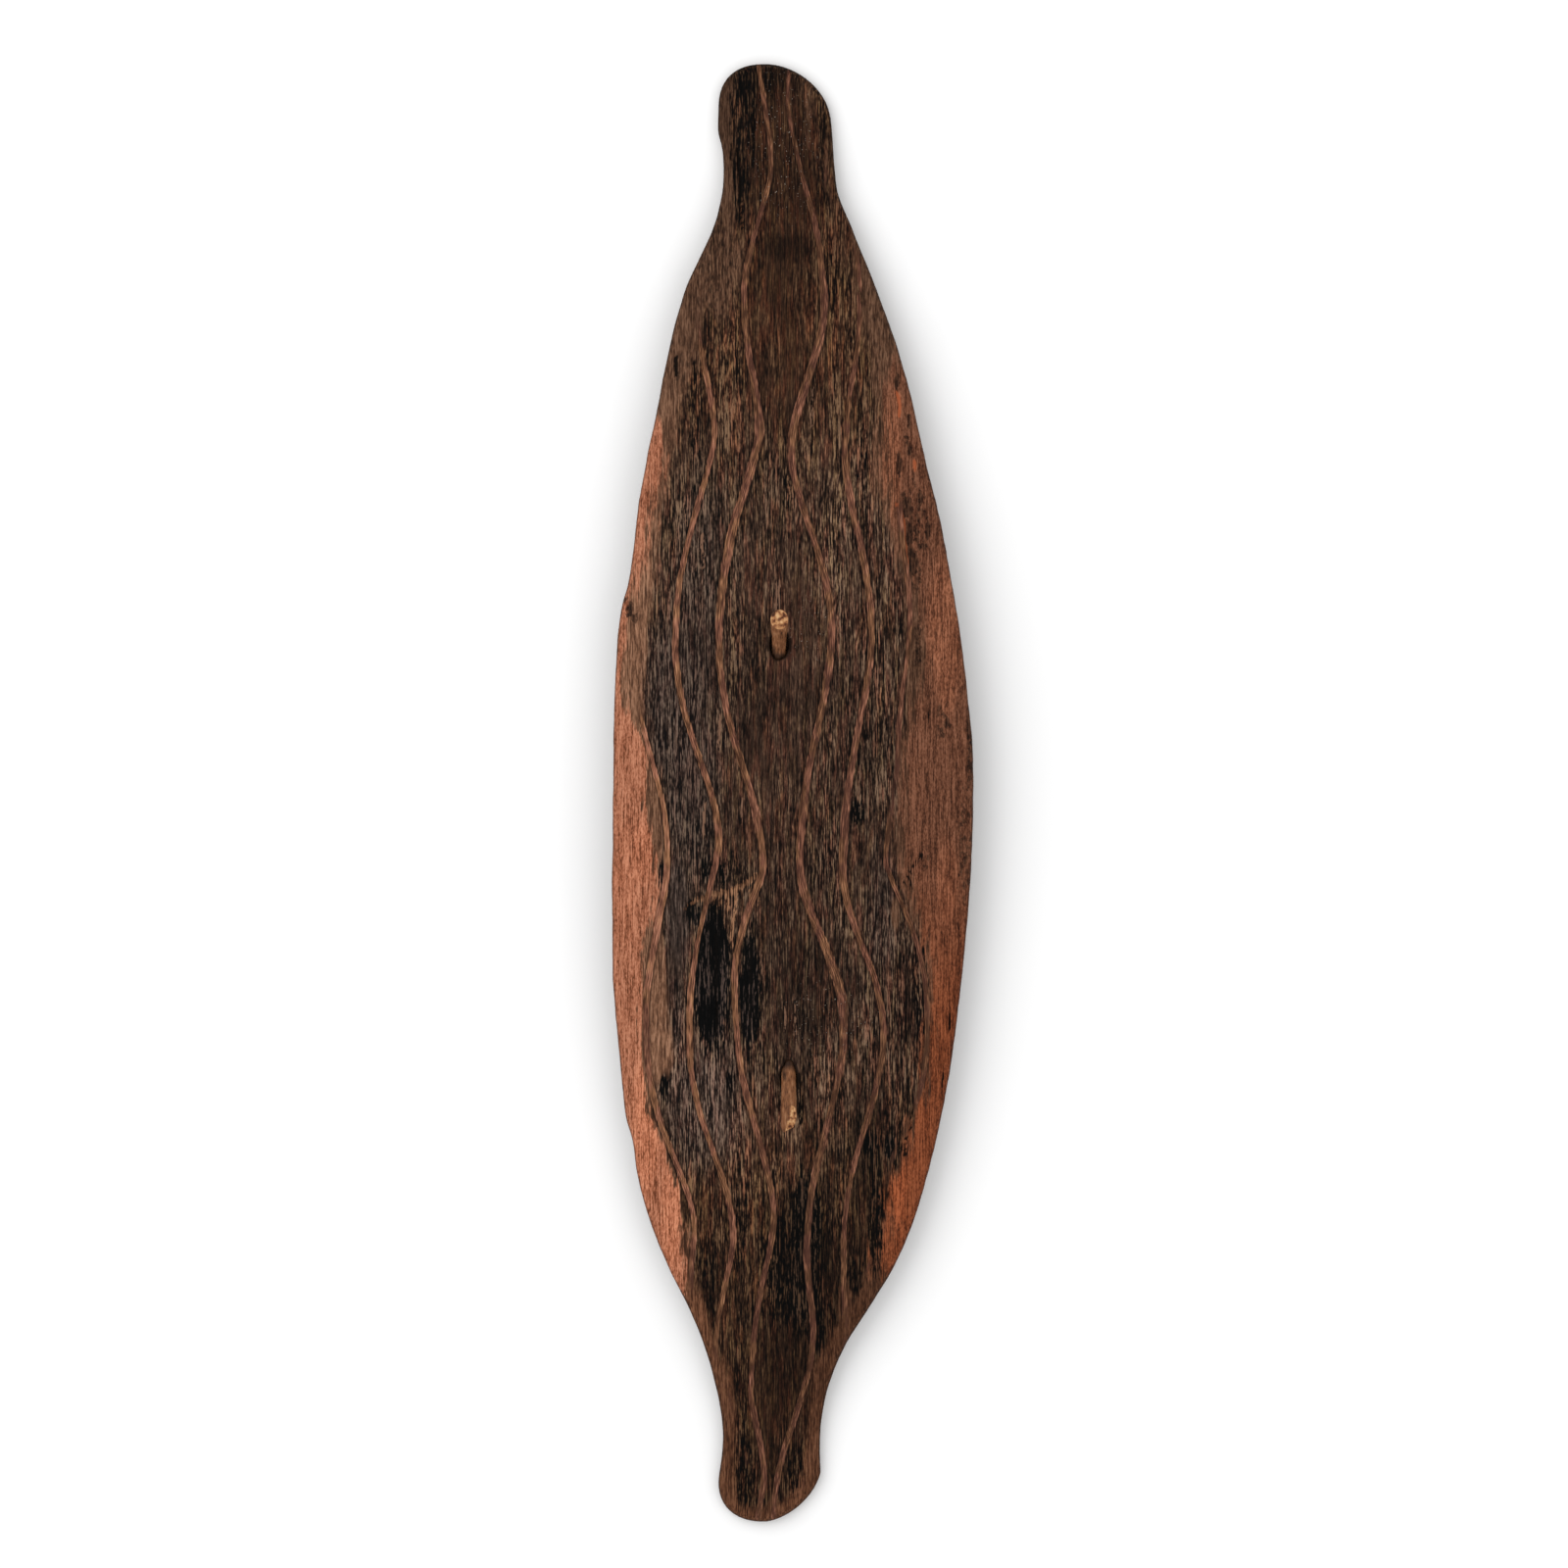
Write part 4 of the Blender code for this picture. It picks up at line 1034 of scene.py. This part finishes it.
def bore_holes(board, pegs):
    """Cuts both slanting holes through the board's mesh."""
    mesh = bmesh.new()
    side = Vector((1.0, 0.0, 0.0))
    for peg in pegs:
        up = side.cross(peg.direction)
        rings = []
        for distance in (-peg.bored_back - peg.radius, peg.bored_front):
            centre = peg.exit + peg.direction * distance
            ring = []
            for n in range(CUTTER_SIDES):
                turn = 2 * pi * n / CUTTER_SIDES
                reach = side * (peg.across_hole * cos(turn)) + up * (peg.along_hole * sin(turn))
                ring.append(mesh.verts.new(centre + reach))
            rings.append(ring)
        join_rings(mesh, *rings)
        for ring in rings:
            mesh.faces.new(ring)
    cutter = add_solid("hole_cutter", mesh)
    bore = board.modifiers.new("holes", "BOOLEAN")
    bore.operation = "DIFFERENCE"
    bore.solver = "EXACT"
    bore.object = cutter
    bpy.context.view_layer.update()
    bored = board.evaluated_get(bpy.context.evaluated_depsgraph_get())
    fresh = bpy.data.meshes.new_from_object(bored)
    board.modifiers.clear()
    board.data = fresh
    bpy.data.objects.remove(cutter, do_unlink=True)


def put_attribute(mesh, name, values):
    layer = mesh.attributes.new(name, "FLOAT", "POINT")
    layer.data.foreach_set("value", np.asarray(values, np.float32))


def paint_board(board, pegs):
    """Measures on the board's points that its material paints by."""
    mesh = board.data
    co = np.zeros(len(mesh.vertices) * 3, np.float32)
    mesh.vertices.foreach_get("co", co)
    co = co.reshape(-1, 3)
    x, y, z = co.T.astype(float)
    station = y / HALF_LENGTH
    front, back = front_z(x, station), back_z(x, station)
    on_front = smooth_step(0.25, 0.75, (z - back) / (front - back))
    ochre, band = margin_reach(x, y)
    inside, _, clarity, across = groove_measure(x, station)
    # How far inside a bore each point is; the material paints shade there
    bored = np.zeros(x.shape)
    for peg in pegs:
        away, direction = co - np.array(peg.exit), np.array(peg.direction)
        reach = np.linalg.norm(away - (away @ direction)[:, None] * direction, axis=1)
        bored = np.maximum(bored, 1 - smooth_step(peg.along_hole, peg.along_hole * 1.12, reach))
    rim = rim_distance(x, y)
    near_rim = 1 - smooth_step(0.0030, 0.0060, rim)
    right_side = smooth_step(-0.02, 0.02, x)
    lights = (smooth_through(knots, station) for knots in (BAND_LIGHT_LEFT, BAND_LIGHT_RIGHT))
    shade = smooth_through(SHADES, station) * (1 - 0.7 * blotches(x, y, DIM))
    measures = {
        "front": on_front,
        "ochre": ochre,
        "band": np.maximum(band, lobe_margins(x, y, rim)),
        "band_light": np.where(x < middle_x(station), *lights),
        "groove": inside,
        "groove_clarity": clarity,
        "groove_across": across,
        "bored": bored,
        "rim": rim,
        "depth": (front - z) * np.maximum(near_rim, 1 - on_front),
        "right_side": right_side,
        "soft_edge": np.maximum(right_side, 0.85 * smooth_step(0.03, 0.10, y)),
        "rusty": smooth_step(0.020, 0.160, -y) * right_side,
        "rusty_band": smooth_step(0.55, 0.72, -station),
        "yellowed": smooth_step(0.35, 0.62, np.abs(station)),
        "shade": shade * (1 + 0.12 * blotches(x, y, LIGHTER)),
    }
    measures |= {name: blotches(x, y, marks) for name, marks in BLOTCHES.items()}
    measures |= {name: strokes(x, y, marks) for name, marks in STROKES.items()}
    for name, values in measures.items():
        put_attribute(mesh, name, values)


def seen(red, green, blue):
    """A colour as it shows in the photograph, turned into the paint that gives it here."""
    share = np.array((red, green, blue)) / 255
    light = np.where(share <= 0.04045, share / 12.92, ((share + 0.055) / 1.055) ** 2.4)
    return (*(light / STUDIO_LIGHT).tolist(), 1.0)


class Paint:
    """A material's nodes. Each call adds a node and gives back the socket to use next."""

    def __init__(self, name):
        self.material = bpy.data.materials.new(name)
        self.material.use_nodes = True
        self.tree = self.material.node_tree
        self.shader = self.tree.nodes["Principled BSDF"]
        self.place = self.node("TexCoord", {}, "Object")

    def join(self, socket, value):
        if isinstance(value, bpy.types.NodeSocket):
            self.tree.links.new(value, socket)
        else:
            socket.default_value = value

    def node(self, kind, inputs, output=0, **settings):
        made = self.tree.nodes.new("ShaderNode" + kind)
        for name, value in settings.items():
            setattr(made, name, value)
        for key, value in inputs.items():
            self.join(made.inputs[key], value)
        return made.outputs[output]

    def maths(self, operation, a, b=0.0, clamp=False):
        return self.node("Math", {0: a, 1: b}, operation=operation, use_clamp=clamp)

    def add(self, *values):
        return reduce(lambda a, b: self.maths("ADD", a, b), values)

    def times(self, *values):
        return reduce(lambda a, b: self.maths("MULTIPLY", a, b), values)

    def rest(self, *values):
        """What is left of 1 after the product of the values."""
        return self.maths("SUBTRACT", 1.0, self.times(*values))

    def vary(self, *pairs):
        """The sum of noises about their middles, each with its share."""
        return self.add(*(self.times(self.maths("SUBTRACT", noise, 0.5), share) for noise, share in pairs))

    def vector(self, operation, a, b):
        return self.node("VectorMath", {0: a, 1: b}, operation=operation)

    def combine(self, x, y=0.0, z=0.0):
        return self.node("CombineXYZ", {0: x, 1: y, 2: z})

    def noise(self, cell, detail, place=None, shift=0.0, roughness=0.5):
        """Noise from 0 to 1 that changes over cells of that size in metres."""
        scaled = self.vector("MULTIPLY", place or self.place, tuple(1 / c for c in cell))
        moved = self.vector("ADD", scaled, (shift, shift * 1.7, shift * 0.6))
        inputs = {"Vector": moved, "Scale": 1.0, "Detail": detail, "Roughness": roughness}
        return self.node("TexNoise", inputs)

    def ridge(self, cell, place, shift, narrowness):
        """Thin wandering lines: 1 on each line and 0 away from it."""
        away = self.maths("ABSOLUTE", self.maths("SUBTRACT", self.noise(cell, 0.0, place, shift), 0.5))
        return self.maths("SUBTRACT", 1.0, self.times(away, narrowness), clamp=True)

    def ease(self, value, low, high):
        """0 at low and 1 at high, smoothly."""
        inputs = {"Value": value, "From Min": low, "From Max": high}
        return self.node("MapRange", inputs, interpolation_type="SMOOTHSTEP")

    def measure(self, name):
        return self.node("Attribute", {}, "Fac", attribute_name=name)

    def patch(self, name, raggedness, low, high):
        """How much a mark covers each point: ragged at its edge, and nothing away from it."""
        mark = self.measure(name)
        ragged = self.ease(self.add(mark, raggedness), low, high)
        return self.times(ragged, self.ease(mark, 0.0, 0.15))

    def blend(self, share, a, b, kind="MIX"):
        settings = {"data_type": "RGBA", "blend_type": kind, "clamp_factor": True}
        return self.node("Mix", {0: share, 6: a, 7: b}, 2, **settings)

    def tinted(self, colour, *tint):
        return self.blend(1.0, colour, (*tint, 1.0), "MULTIPLY")

    def partly_tinted(self, share, colour, *tint):
        return self.blend(share, colour, self.tinted(colour, *tint))

    def ramp(self, share, *stops):
        """A colour that runs through stops of (place, colour)."""
        colour = self.node("ValToRGB", {0: share})
        elements = colour.node.color_ramp.elements
        while len(elements) < len(stops):
            elements.new(0.5)
        for element, (place, shade) in zip(elements, stops):
            element.position = place
            element.color = shade
        return colour

    def shades(self, share, *stops):
        """A colour that runs through stops of (place, red, green, blue) as the photograph shows them."""
        return self.ramp(share, *((place, seen(*colour)) for place, *colour in stops))

    def scaled(self, colour, share):
        """A colour made lighter or darker by a share."""
        return self.node("VectorMath", {0: colour, "Scale": share}, operation="SCALE")

    def finish(self, colour, roughness, height, strength, distance, specular):
        """The material, with its surface bumped by a height."""
        normal = self.node("Bump", {"Strength": strength, "Distance": distance, "Height": height})
        names = ("Base Color", "Roughness", "Normal", "Specular IOR Level")
        for name, value in zip(names, (colour, roughness, normal, specular)):
            self.join(self.shader.inputs[name], value)
        return self.material


class Wood(Paint):
    """Paint with the board's grain: its fibres, strands, clumps and finer marks."""

    def __init__(self, name):
        super().__init__(name)
        x, self.along, _ = self.node("SeparateXYZ", {0: self.place}).node.outputs
        # Height is measured down from the front, so that fibres stay whole, and straight ones wander
        wood = self.combine(x, self.along, self.measure("depth"))
        sway = self.maths("SUBTRACT", self.noise((0.020, 0.080, 0.03), 1.0), 0.5)
        swayed = self.vector("ADD", wood, self.combine(self.times(sway, 0.0014)))
        self.swayed = swayed
        self.fibre = self.noise((0.00053, 0.0050, 0.0007), 0.0, swayed, 67.5)
        self.strand = self.noise((0.00067, 0.0170, 0.0010), 0.0, swayed, 27.5)
        self.clump = self.noise((0.0030, 0.030, 0.004), 1.0, swayed, 9.0)
        self.broad = self.noise((0.014, 0.070, 0.02), 2.0, swayed, 13.0)
        self.speck = self.noise((0.0011, 0.0015, 0.002), 2.0, None, 3.0, 0.6)
        self.curl = self.noise((0.0030, 0.0045, 0.003), 3.0, None, 17.0, 0.6)
        self.mottle = self.noise((0.0007, 0.0020, 0.0009), 1.0, wood, 71.0)
        thread = self.ridge((0.0022, 0.024, 0.006), swayed, 19.0, 9.0)
        crease = self.ridge((0.0026, 0.020, 0.006), swayed, 43.0, 11.0)
        long_grain = ((self.fibre, 1.34), (self.strand, 1.20), (self.clump, 0.28), (self.broad, 0.30))
        lines = self.times(thread, 0.06), self.times(crease, -0.10)
        self.grain = self.add(self.vary(*long_grain, (self.mottle, 0.70)), *lines)
        stormy = self.ease(self.noise((0.012, 0.060, 0.02), 1.0, swayed, 53.0), 0.3, 0.7)
        vivid = self.times(self.rest(self.measure("calm"), 0.45), self.add(0.72, self.times(stormy, 0.55)))
        self.streaks = self.add(self.times(self.grain, vivid), 0.5)
        self.even = self.add(self.times(self.grain, 0.6), 0.5)


def dark_wood(p):
    dark = p.shades(
        p.streaks, (0.10, 9, 5, 3), (0.27, 32, 20, 14), (0.40, 52, 36, 27), (0.52, 67, 48, 38),
        (0.66, 88, 66, 52), (0.80, 112, 87, 68), (0.94, 140, 112, 90),
    )
    reddish = p.ease(p.noise((0.0026, 0.022, 0.01), 2.0, p.swayed, 21.0), 0.45, 0.68)
    dark = p.partly_tinted(p.times(reddish, 0.75), dark, 1.30, 0.88, 0.84)
    olive = p.ease(p.noise((0.0030, 0.028, 0.01), 2.0, p.swayed, 61.0), 0.46, 0.66)
    dark = p.partly_tinted(p.times(olive, 0.45), dark, 1.05, 1.03, 0.74)
    dark = p.partly_tinted(p.measure("yellowed"), dark, 1.07, 0.95, 0.78)
    dark = p.partly_tinted(p.measure("calm"), dark, 1.03, 0.985, 0.96)
    grey = p.shades(
        p.streaks, (0.24, 14, 11, 11), (0.40, 40, 32, 28), (0.54, 67, 54, 48), (0.80, 114, 98, 89)
    )
    dark = p.blend(p.times(p.measure("grey"), 0.8), dark, grey)
    return p.scaled(dark, p.measure("shade"))


def with_brown(p, surface):
    """Brown worn patches, and the plain brown along the margins."""
    brown = p.shades(p.even, (0.24, 66, 43, 30), (0.50, 104, 72, 53), (0.78, 140, 103, 80))
    band_share = p.ease(p.add(p.measure("band"), p.vary((p.clump, 0.012))), -0.004, 0.003)
    brown = p.scaled(brown, p.measure("band_light"))
    brown = p.partly_tinted(p.measure("rusty_band"), brown, 1.05, 0.87, 0.76)
    brown_share = p.patch("brown", p.vary((p.clump, 1.1)), 0.15, 0.85)
    surface = p.blend(p.maths("MAXIMUM", band_share, brown_share), surface, brown)
    fleck = p.ease(p.noise((0.0015, 0.0055, 0.004), 1.0, p.swayed, 83.0), 0.50, 0.64)
    return p.scaled(surface, p.rest(fleck, p.measure("flecked"), 0.60))


def with_ochre(p, surface):
    """Ochre margins: a crisp fibrous edge on the left, and a gradual one on the right."""
    right_side = p.measure("right_side")
    teeth = p.vary((p.fibre, 0.006), (p.clump, 0.012), (p.broad, 0.006))
    steepness = p.rest(p.measure("soft_edge"), 0.78)
    reach = p.add(p.times(p.measure("ochre"), steepness), p.times(teeth, p.add(0.25, steepness)))
    powder = ((p.mottle, 0.95), (p.fibre, 0.50), (p.strand, 0.80), (p.clump, 0.30), (p.broad, 0.35))
    powdery = p.add(p.vary(*powder), 0.5)
    left = p.shades(
        powdery, (0.20, 104, 58, 37), (0.40, 154, 93, 66), (0.54, 178, 112, 83), (0.78, 208, 140, 108)
    )
    right = p.shades(
        powdery, (0.20, 66, 38, 25), (0.42, 102, 62, 44), (0.56, 120, 76, 55), (0.80, 148, 98, 74)
    )
    ochre = p.blend(right_side, left, right)
    ochre = p.partly_tinted(p.measure("rusty"), ochre, 1.25, 0.87, 0.62)
    salmon = p.times(p.measure("salmon"), p.add(0.6, p.times(right_side, 0.4)))
    ochre = p.partly_tinted(salmon, ochre, 1.60, 1.50, 1.42)
    ochre = p.scaled(ochre, p.rest(p.ease(p.speck, 0.60, 0.72), 0.30))
    return p.blend(p.ease(reach, -0.0014, 0.0016), surface, ochre)


def with_scorches(p, surface):
    """Blackened patches that keep a few lighter fibres, and dark knots."""
    scorch = p.patch("charred", p.add(p.times(p.grain, -0.8), p.vary((p.curl, 0.5))), 0.22, 0.80)
    fibres = p.add(p.streaks, p.vary((p.clump, 0.7)), -0.02)
    black = p.shades(fibres, (0.32, 1, 1, 1), (0.53, 6, 5, 4), (0.66, 24, 19, 18), (0.86, 82, 66, 59))
    black = p.partly_tinted(p.measure("yellowed"), black, 1.12, 0.93, 0.68)
    surface = p.blend(scorch, surface, black)
    knots = p.patch("knots", p.add(p.vary((p.curl, 2.2)), p.times(p.grain, 0.4)), 0.44, 0.60)
    knotted = p.shades(p.streaks, (0.24, 16, 9, 6), (0.54, 48, 30, 21), (0.84, 92, 62, 45))
    return p.blend(p.times(knots, 0.85), surface, knotted)


def with_scars(p, surface):
    """The scar, and the orange and pale fibres."""
    scar = p.patch("scar", p.add(p.times(p.grain, 0.8), p.vary((p.curl, 1.4))), 0.38, 0.66)
    tan_wood = p.shades(p.streaks, (0.24, 53, 33, 22), (0.52, 103, 69, 48), (0.82, 166, 121, 90))
    surface = p.blend(scar, surface, tan_wood)
    orange = p.patch("orange", p.times(p.grain, 0.6), 0.45, 0.65)
    surface = p.blend(p.times(orange, 0.8), surface, seen(176, 92, 56))
    pale = p.patch("pale", p.times(p.grain, 0.9), 0.42, 0.75)
    return p.blend(pale, surface, seen(132, 98, 78))


def with_grooves(p, surface):
    """The paler wood of the cut grooves, whose grain follows them, and painted shade that darkens their
    lips.
    """
    clarity = p.measure("groove_clarity")
    edge = p.add(p.measure("groove"), p.vary((p.fibre, 0.35), (p.strand, 0.2)))
    broken = p.ease(p.add(clarity, p.vary((p.clump, 0.9))), 0.0, 0.42)
    along = p.combine(p.measure("groove_across"), p.along)
    lengthwise = p.noise((0.0007, 0.010, 1.0), 1.0, along, 5.0)
    bloom = p.noise((0.006, 0.024, 0.01), 2.0, None, 31.0)
    fresh = p.add(p.vary((lengthwise, 1.3), (p.fibre, 0.6), (bloom, 0.5), (clarity, 0.8)), 0.30)
    carved = p.shades(
        fresh, (0.20, 84, 55, 43), (0.42, 130, 90, 69), (0.56, 156, 109, 84), (0.80, 200, 146, 116)
    )
    tint = p.ease(p.noise((0.006, 0.018, 0.01), 1.0, None, 47.0), 0.40, 0.60)
    carved = p.blend(tint, p.tinted(carved, 1.05, 0.95, 0.98), p.tinted(carved, 1.01, 1.0, 0.86))
    surface = p.blend(p.times(p.ease(edge, 0.0, 0.24), broken), surface, carved)
    # Painted shade along the grooves' lips
    lip = p.times(p.ease(edge, -0.5, -0.1), p.rest(p.ease(edge, 0.0, 0.2)), clarity)
    return p.scaled(surface, p.rest(lip, 0.8))


def with_wear_and_shade(p, surface):
    """Gashes, painted shade and shadow beside the lower peg, specks of dust, the rim's dark arris, and
    painted shade in the bores.
    """
    # Near black: the gashes, and the painted shade and shadow in the gaps beside the lower peg
    gash_and_shadow = p.patch("gashes_and_painted_shadow", p.times(p.grain, -0.7), 0.40, 0.70)
    surface = p.blend(p.times(gash_and_shadow, 0.95), surface, seen(10, 6, 4))
    dust = p.ease(p.noise((0.0009, 0.0009, 0.0009), 0.0, None, 91.0), 0.78, 0.82)
    surface = p.blend(p.times(dust, p.measure("dusty"), 0.7), surface, seen(170, 155, 140))
    rim = p.rest(p.ease(p.measure("rim"), 0.0002, 0.0014))
    surface = p.scaled(surface, p.rest(rim, 0.45))
    # Painted shade inside the bores
    return p.blend(p.times(p.measure("bored"), 0.85), surface, seen(26, 15, 9))


def weathered_wood():
    """Dark weathered wood with ochre margins, scorched patches and fresher cut grooves."""
    p = Wood("weathered_wood")
    surface = dark_wood(p)
    for part in (with_brown, with_ochre, with_scorches, with_scars, with_grooves, with_wear_and_shade):
        surface = part(p, surface)
    back = p.shades(p.even, (0.20, 46, 31, 22), (0.48, 90, 66, 50), (0.80, 126, 99, 79))
    colour = p.blend(p.measure("front"), back, surface)
    shares = ((p.fibre, 0.6), (p.strand, 0.8), (p.clump, 0.4), (p.speck, 0.15))
    height = p.add(*(p.times(noise, share) for noise, share in shares))
    return p.finish(colour, p.add(0.62, p.times(p.fibre, 0.25)), height, 0.55, 0.0006, 0.06)


def debarked_stick():
    """A peeled stick with brown grain along it, and pale freshly cut ends."""
    p = Paint("debarked_stick")
    fine = p.noise((0.0007, 0.006, 0.0035), 2.0, roughness=0.6)
    medium = p.noise((0.0022, 0.011, 0.006), 2.0, None, 5.0)
    rings = p.noise((0.0026, 0.0030, 0.0026), 2.0, None, 9.0, 0.55)
    mix = p.add(p.times(fine, 0.55), p.times(medium, 0.45))
    shaft = p.shades(
        mix, (0.34, 65, 36, 20), (0.45, 124, 78, 48), (0.55, 151, 100, 66), (0.70, 181, 135, 98)
    )
    face = p.shades(
        rings, (0.36, 89, 47, 25), (0.45, 160, 105, 66), (0.55, 196, 140, 93), (0.68, 230, 182, 130)
    )
    pith = p.rest(p.ease(p.measure("radial"), 0.10, 0.26))
    face = p.blend(p.times(pith, 0.75), face, seen(96, 48, 30))
    colour = p.blend(p.ease(p.measure("cut"), 0.4, 0.7), shaft, face)
    # Painted shade where the stick goes into the holes, mixed with soil
    shade_and_soil_colour = p.shades(mix, (0.36, 18, 11, 7), (0.62, 62, 40, 28))
    colour = p.blend(p.times(p.measure("painted_shade_and_soil"), 0.9), colour, shade_and_soil_colour)
    height = p.add(p.times(fine, 0.6), p.times(rings, 0.4))
    return p.finish(colour, p.add(0.5, p.times(medium, 0.25)), height, 0.5, 0.0005, 0.15)


def pale_floor():
    p = Paint("pale_floor")
    mottle = p.noise((0.4, 0.4, 0.4), 2.0)
    colour = p.ramp(mottle, (0.3, (0.92, 0.92, 0.92, 1.0)), (0.7, (0.94, 0.94, 0.94, 1.0)))
    return p.finish(colour, 0.9, p.noise((0.003, 0.003, 0.003), 2.0), 0.05, 0.0002, 0.1)


def add_light(name, place, size, power):
    """A square soft light that faces the board."""
    lamp = bpy.data.lights.new(name, "AREA")
    lamp.size = size
    lamp.energy = power
    made = add_piece(name, lamp)
    made.location = place
    made.rotation_euler = (-Vector(place)).to_track_quat("-Z", "Y").to_euler()
    made.visible_camera = False


def set_studio():
    """A pale floor, soft light from the upper left, and the photograph's camera."""
    scene = bpy.context.scene
    scene.view_settings.view_transform = "Standard"
    scene.world = bpy.data.worlds.new("studio")
    scene.world.use_nodes = True
    sky = scene.world.node_tree.nodes["Background"]
    sky.inputs["Color"].default_value = (1.0, 1.0, 1.0, 1.0)
    sky.inputs["Strength"].default_value = SKY_LIGHT
    add_light("key", *KEY_LIGHT)
    add_light("fill", *FILL_LIGHT)

    mesh = bpy.data.meshes.new("floor")
    corners = [(FLOOR_HALF * x, FLOOR_HALF * y, 0.0) for x, y in ((-1, -1), (1, -1), (1, 1), (-1, 1))]
    mesh.from_pydata(corners, [], [(0, 1, 2, 3)])
    mesh.materials.append(pale_floor())
    floor = add_piece("floor", mesh)
    floor.location.z = -FLOOR_DROP

    data = bpy.data.cameras.new("camera")
    data.sensor_width = SENSOR
    data.lens = SENSOR * CAMERA_DISTANCE / VIEW_WIDTH
    data.clip_end = 200.0
    scene.camera = add_piece("camera", data)
    scene.camera.location = (*VIEW_CENTRE, VIEW_PLANE + CAMERA_DISTANCE)


def smooth(piece, sharpest):
    """Shades a piece smoothly, but for edges sharper than an angle in degrees."""
    piece.data.shade_smooth()
    piece.data.set_sharp_from_angle(angle=radians(sharpest))


def main():
    upper_cut, lower_cut = (UPPER_CUT_TILT, 0.0), (LOWER_CUT_TILT, LOWER_CUT_SIDE_TILT)
    upper = Peg(
        UPPER_HOLE, UPPER_PEG_RISE, UPPER_PEG_REACH, *upper_cut, STICK_THICK_END, 1, UPPER_NARROWING
    )
    lower = Peg(
        LOWER_HOLE, LOWER_PEG_RISE, LOWER_PEG_REACH, *lower_cut, STICK_THIN_END, -1, LOWER_NARROWING
    )
    board = make_board()
    bore_holes(board, (upper, lower))
    paint_board(board, (upper, lower))
    board.data.materials.clear()
    board.data.materials.append(weathered_wood())
    smooth(board, BOARD_SHARPEST)
    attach(board, "root")
    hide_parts("shield_board")

    stick = make_stick(upper, lower)
    stick.data.materials.append(debarked_stick())
    smooth(stick, STICK_SHARPEST)
    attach(stick, "root")
    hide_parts("handle")
    set_studio()


main()
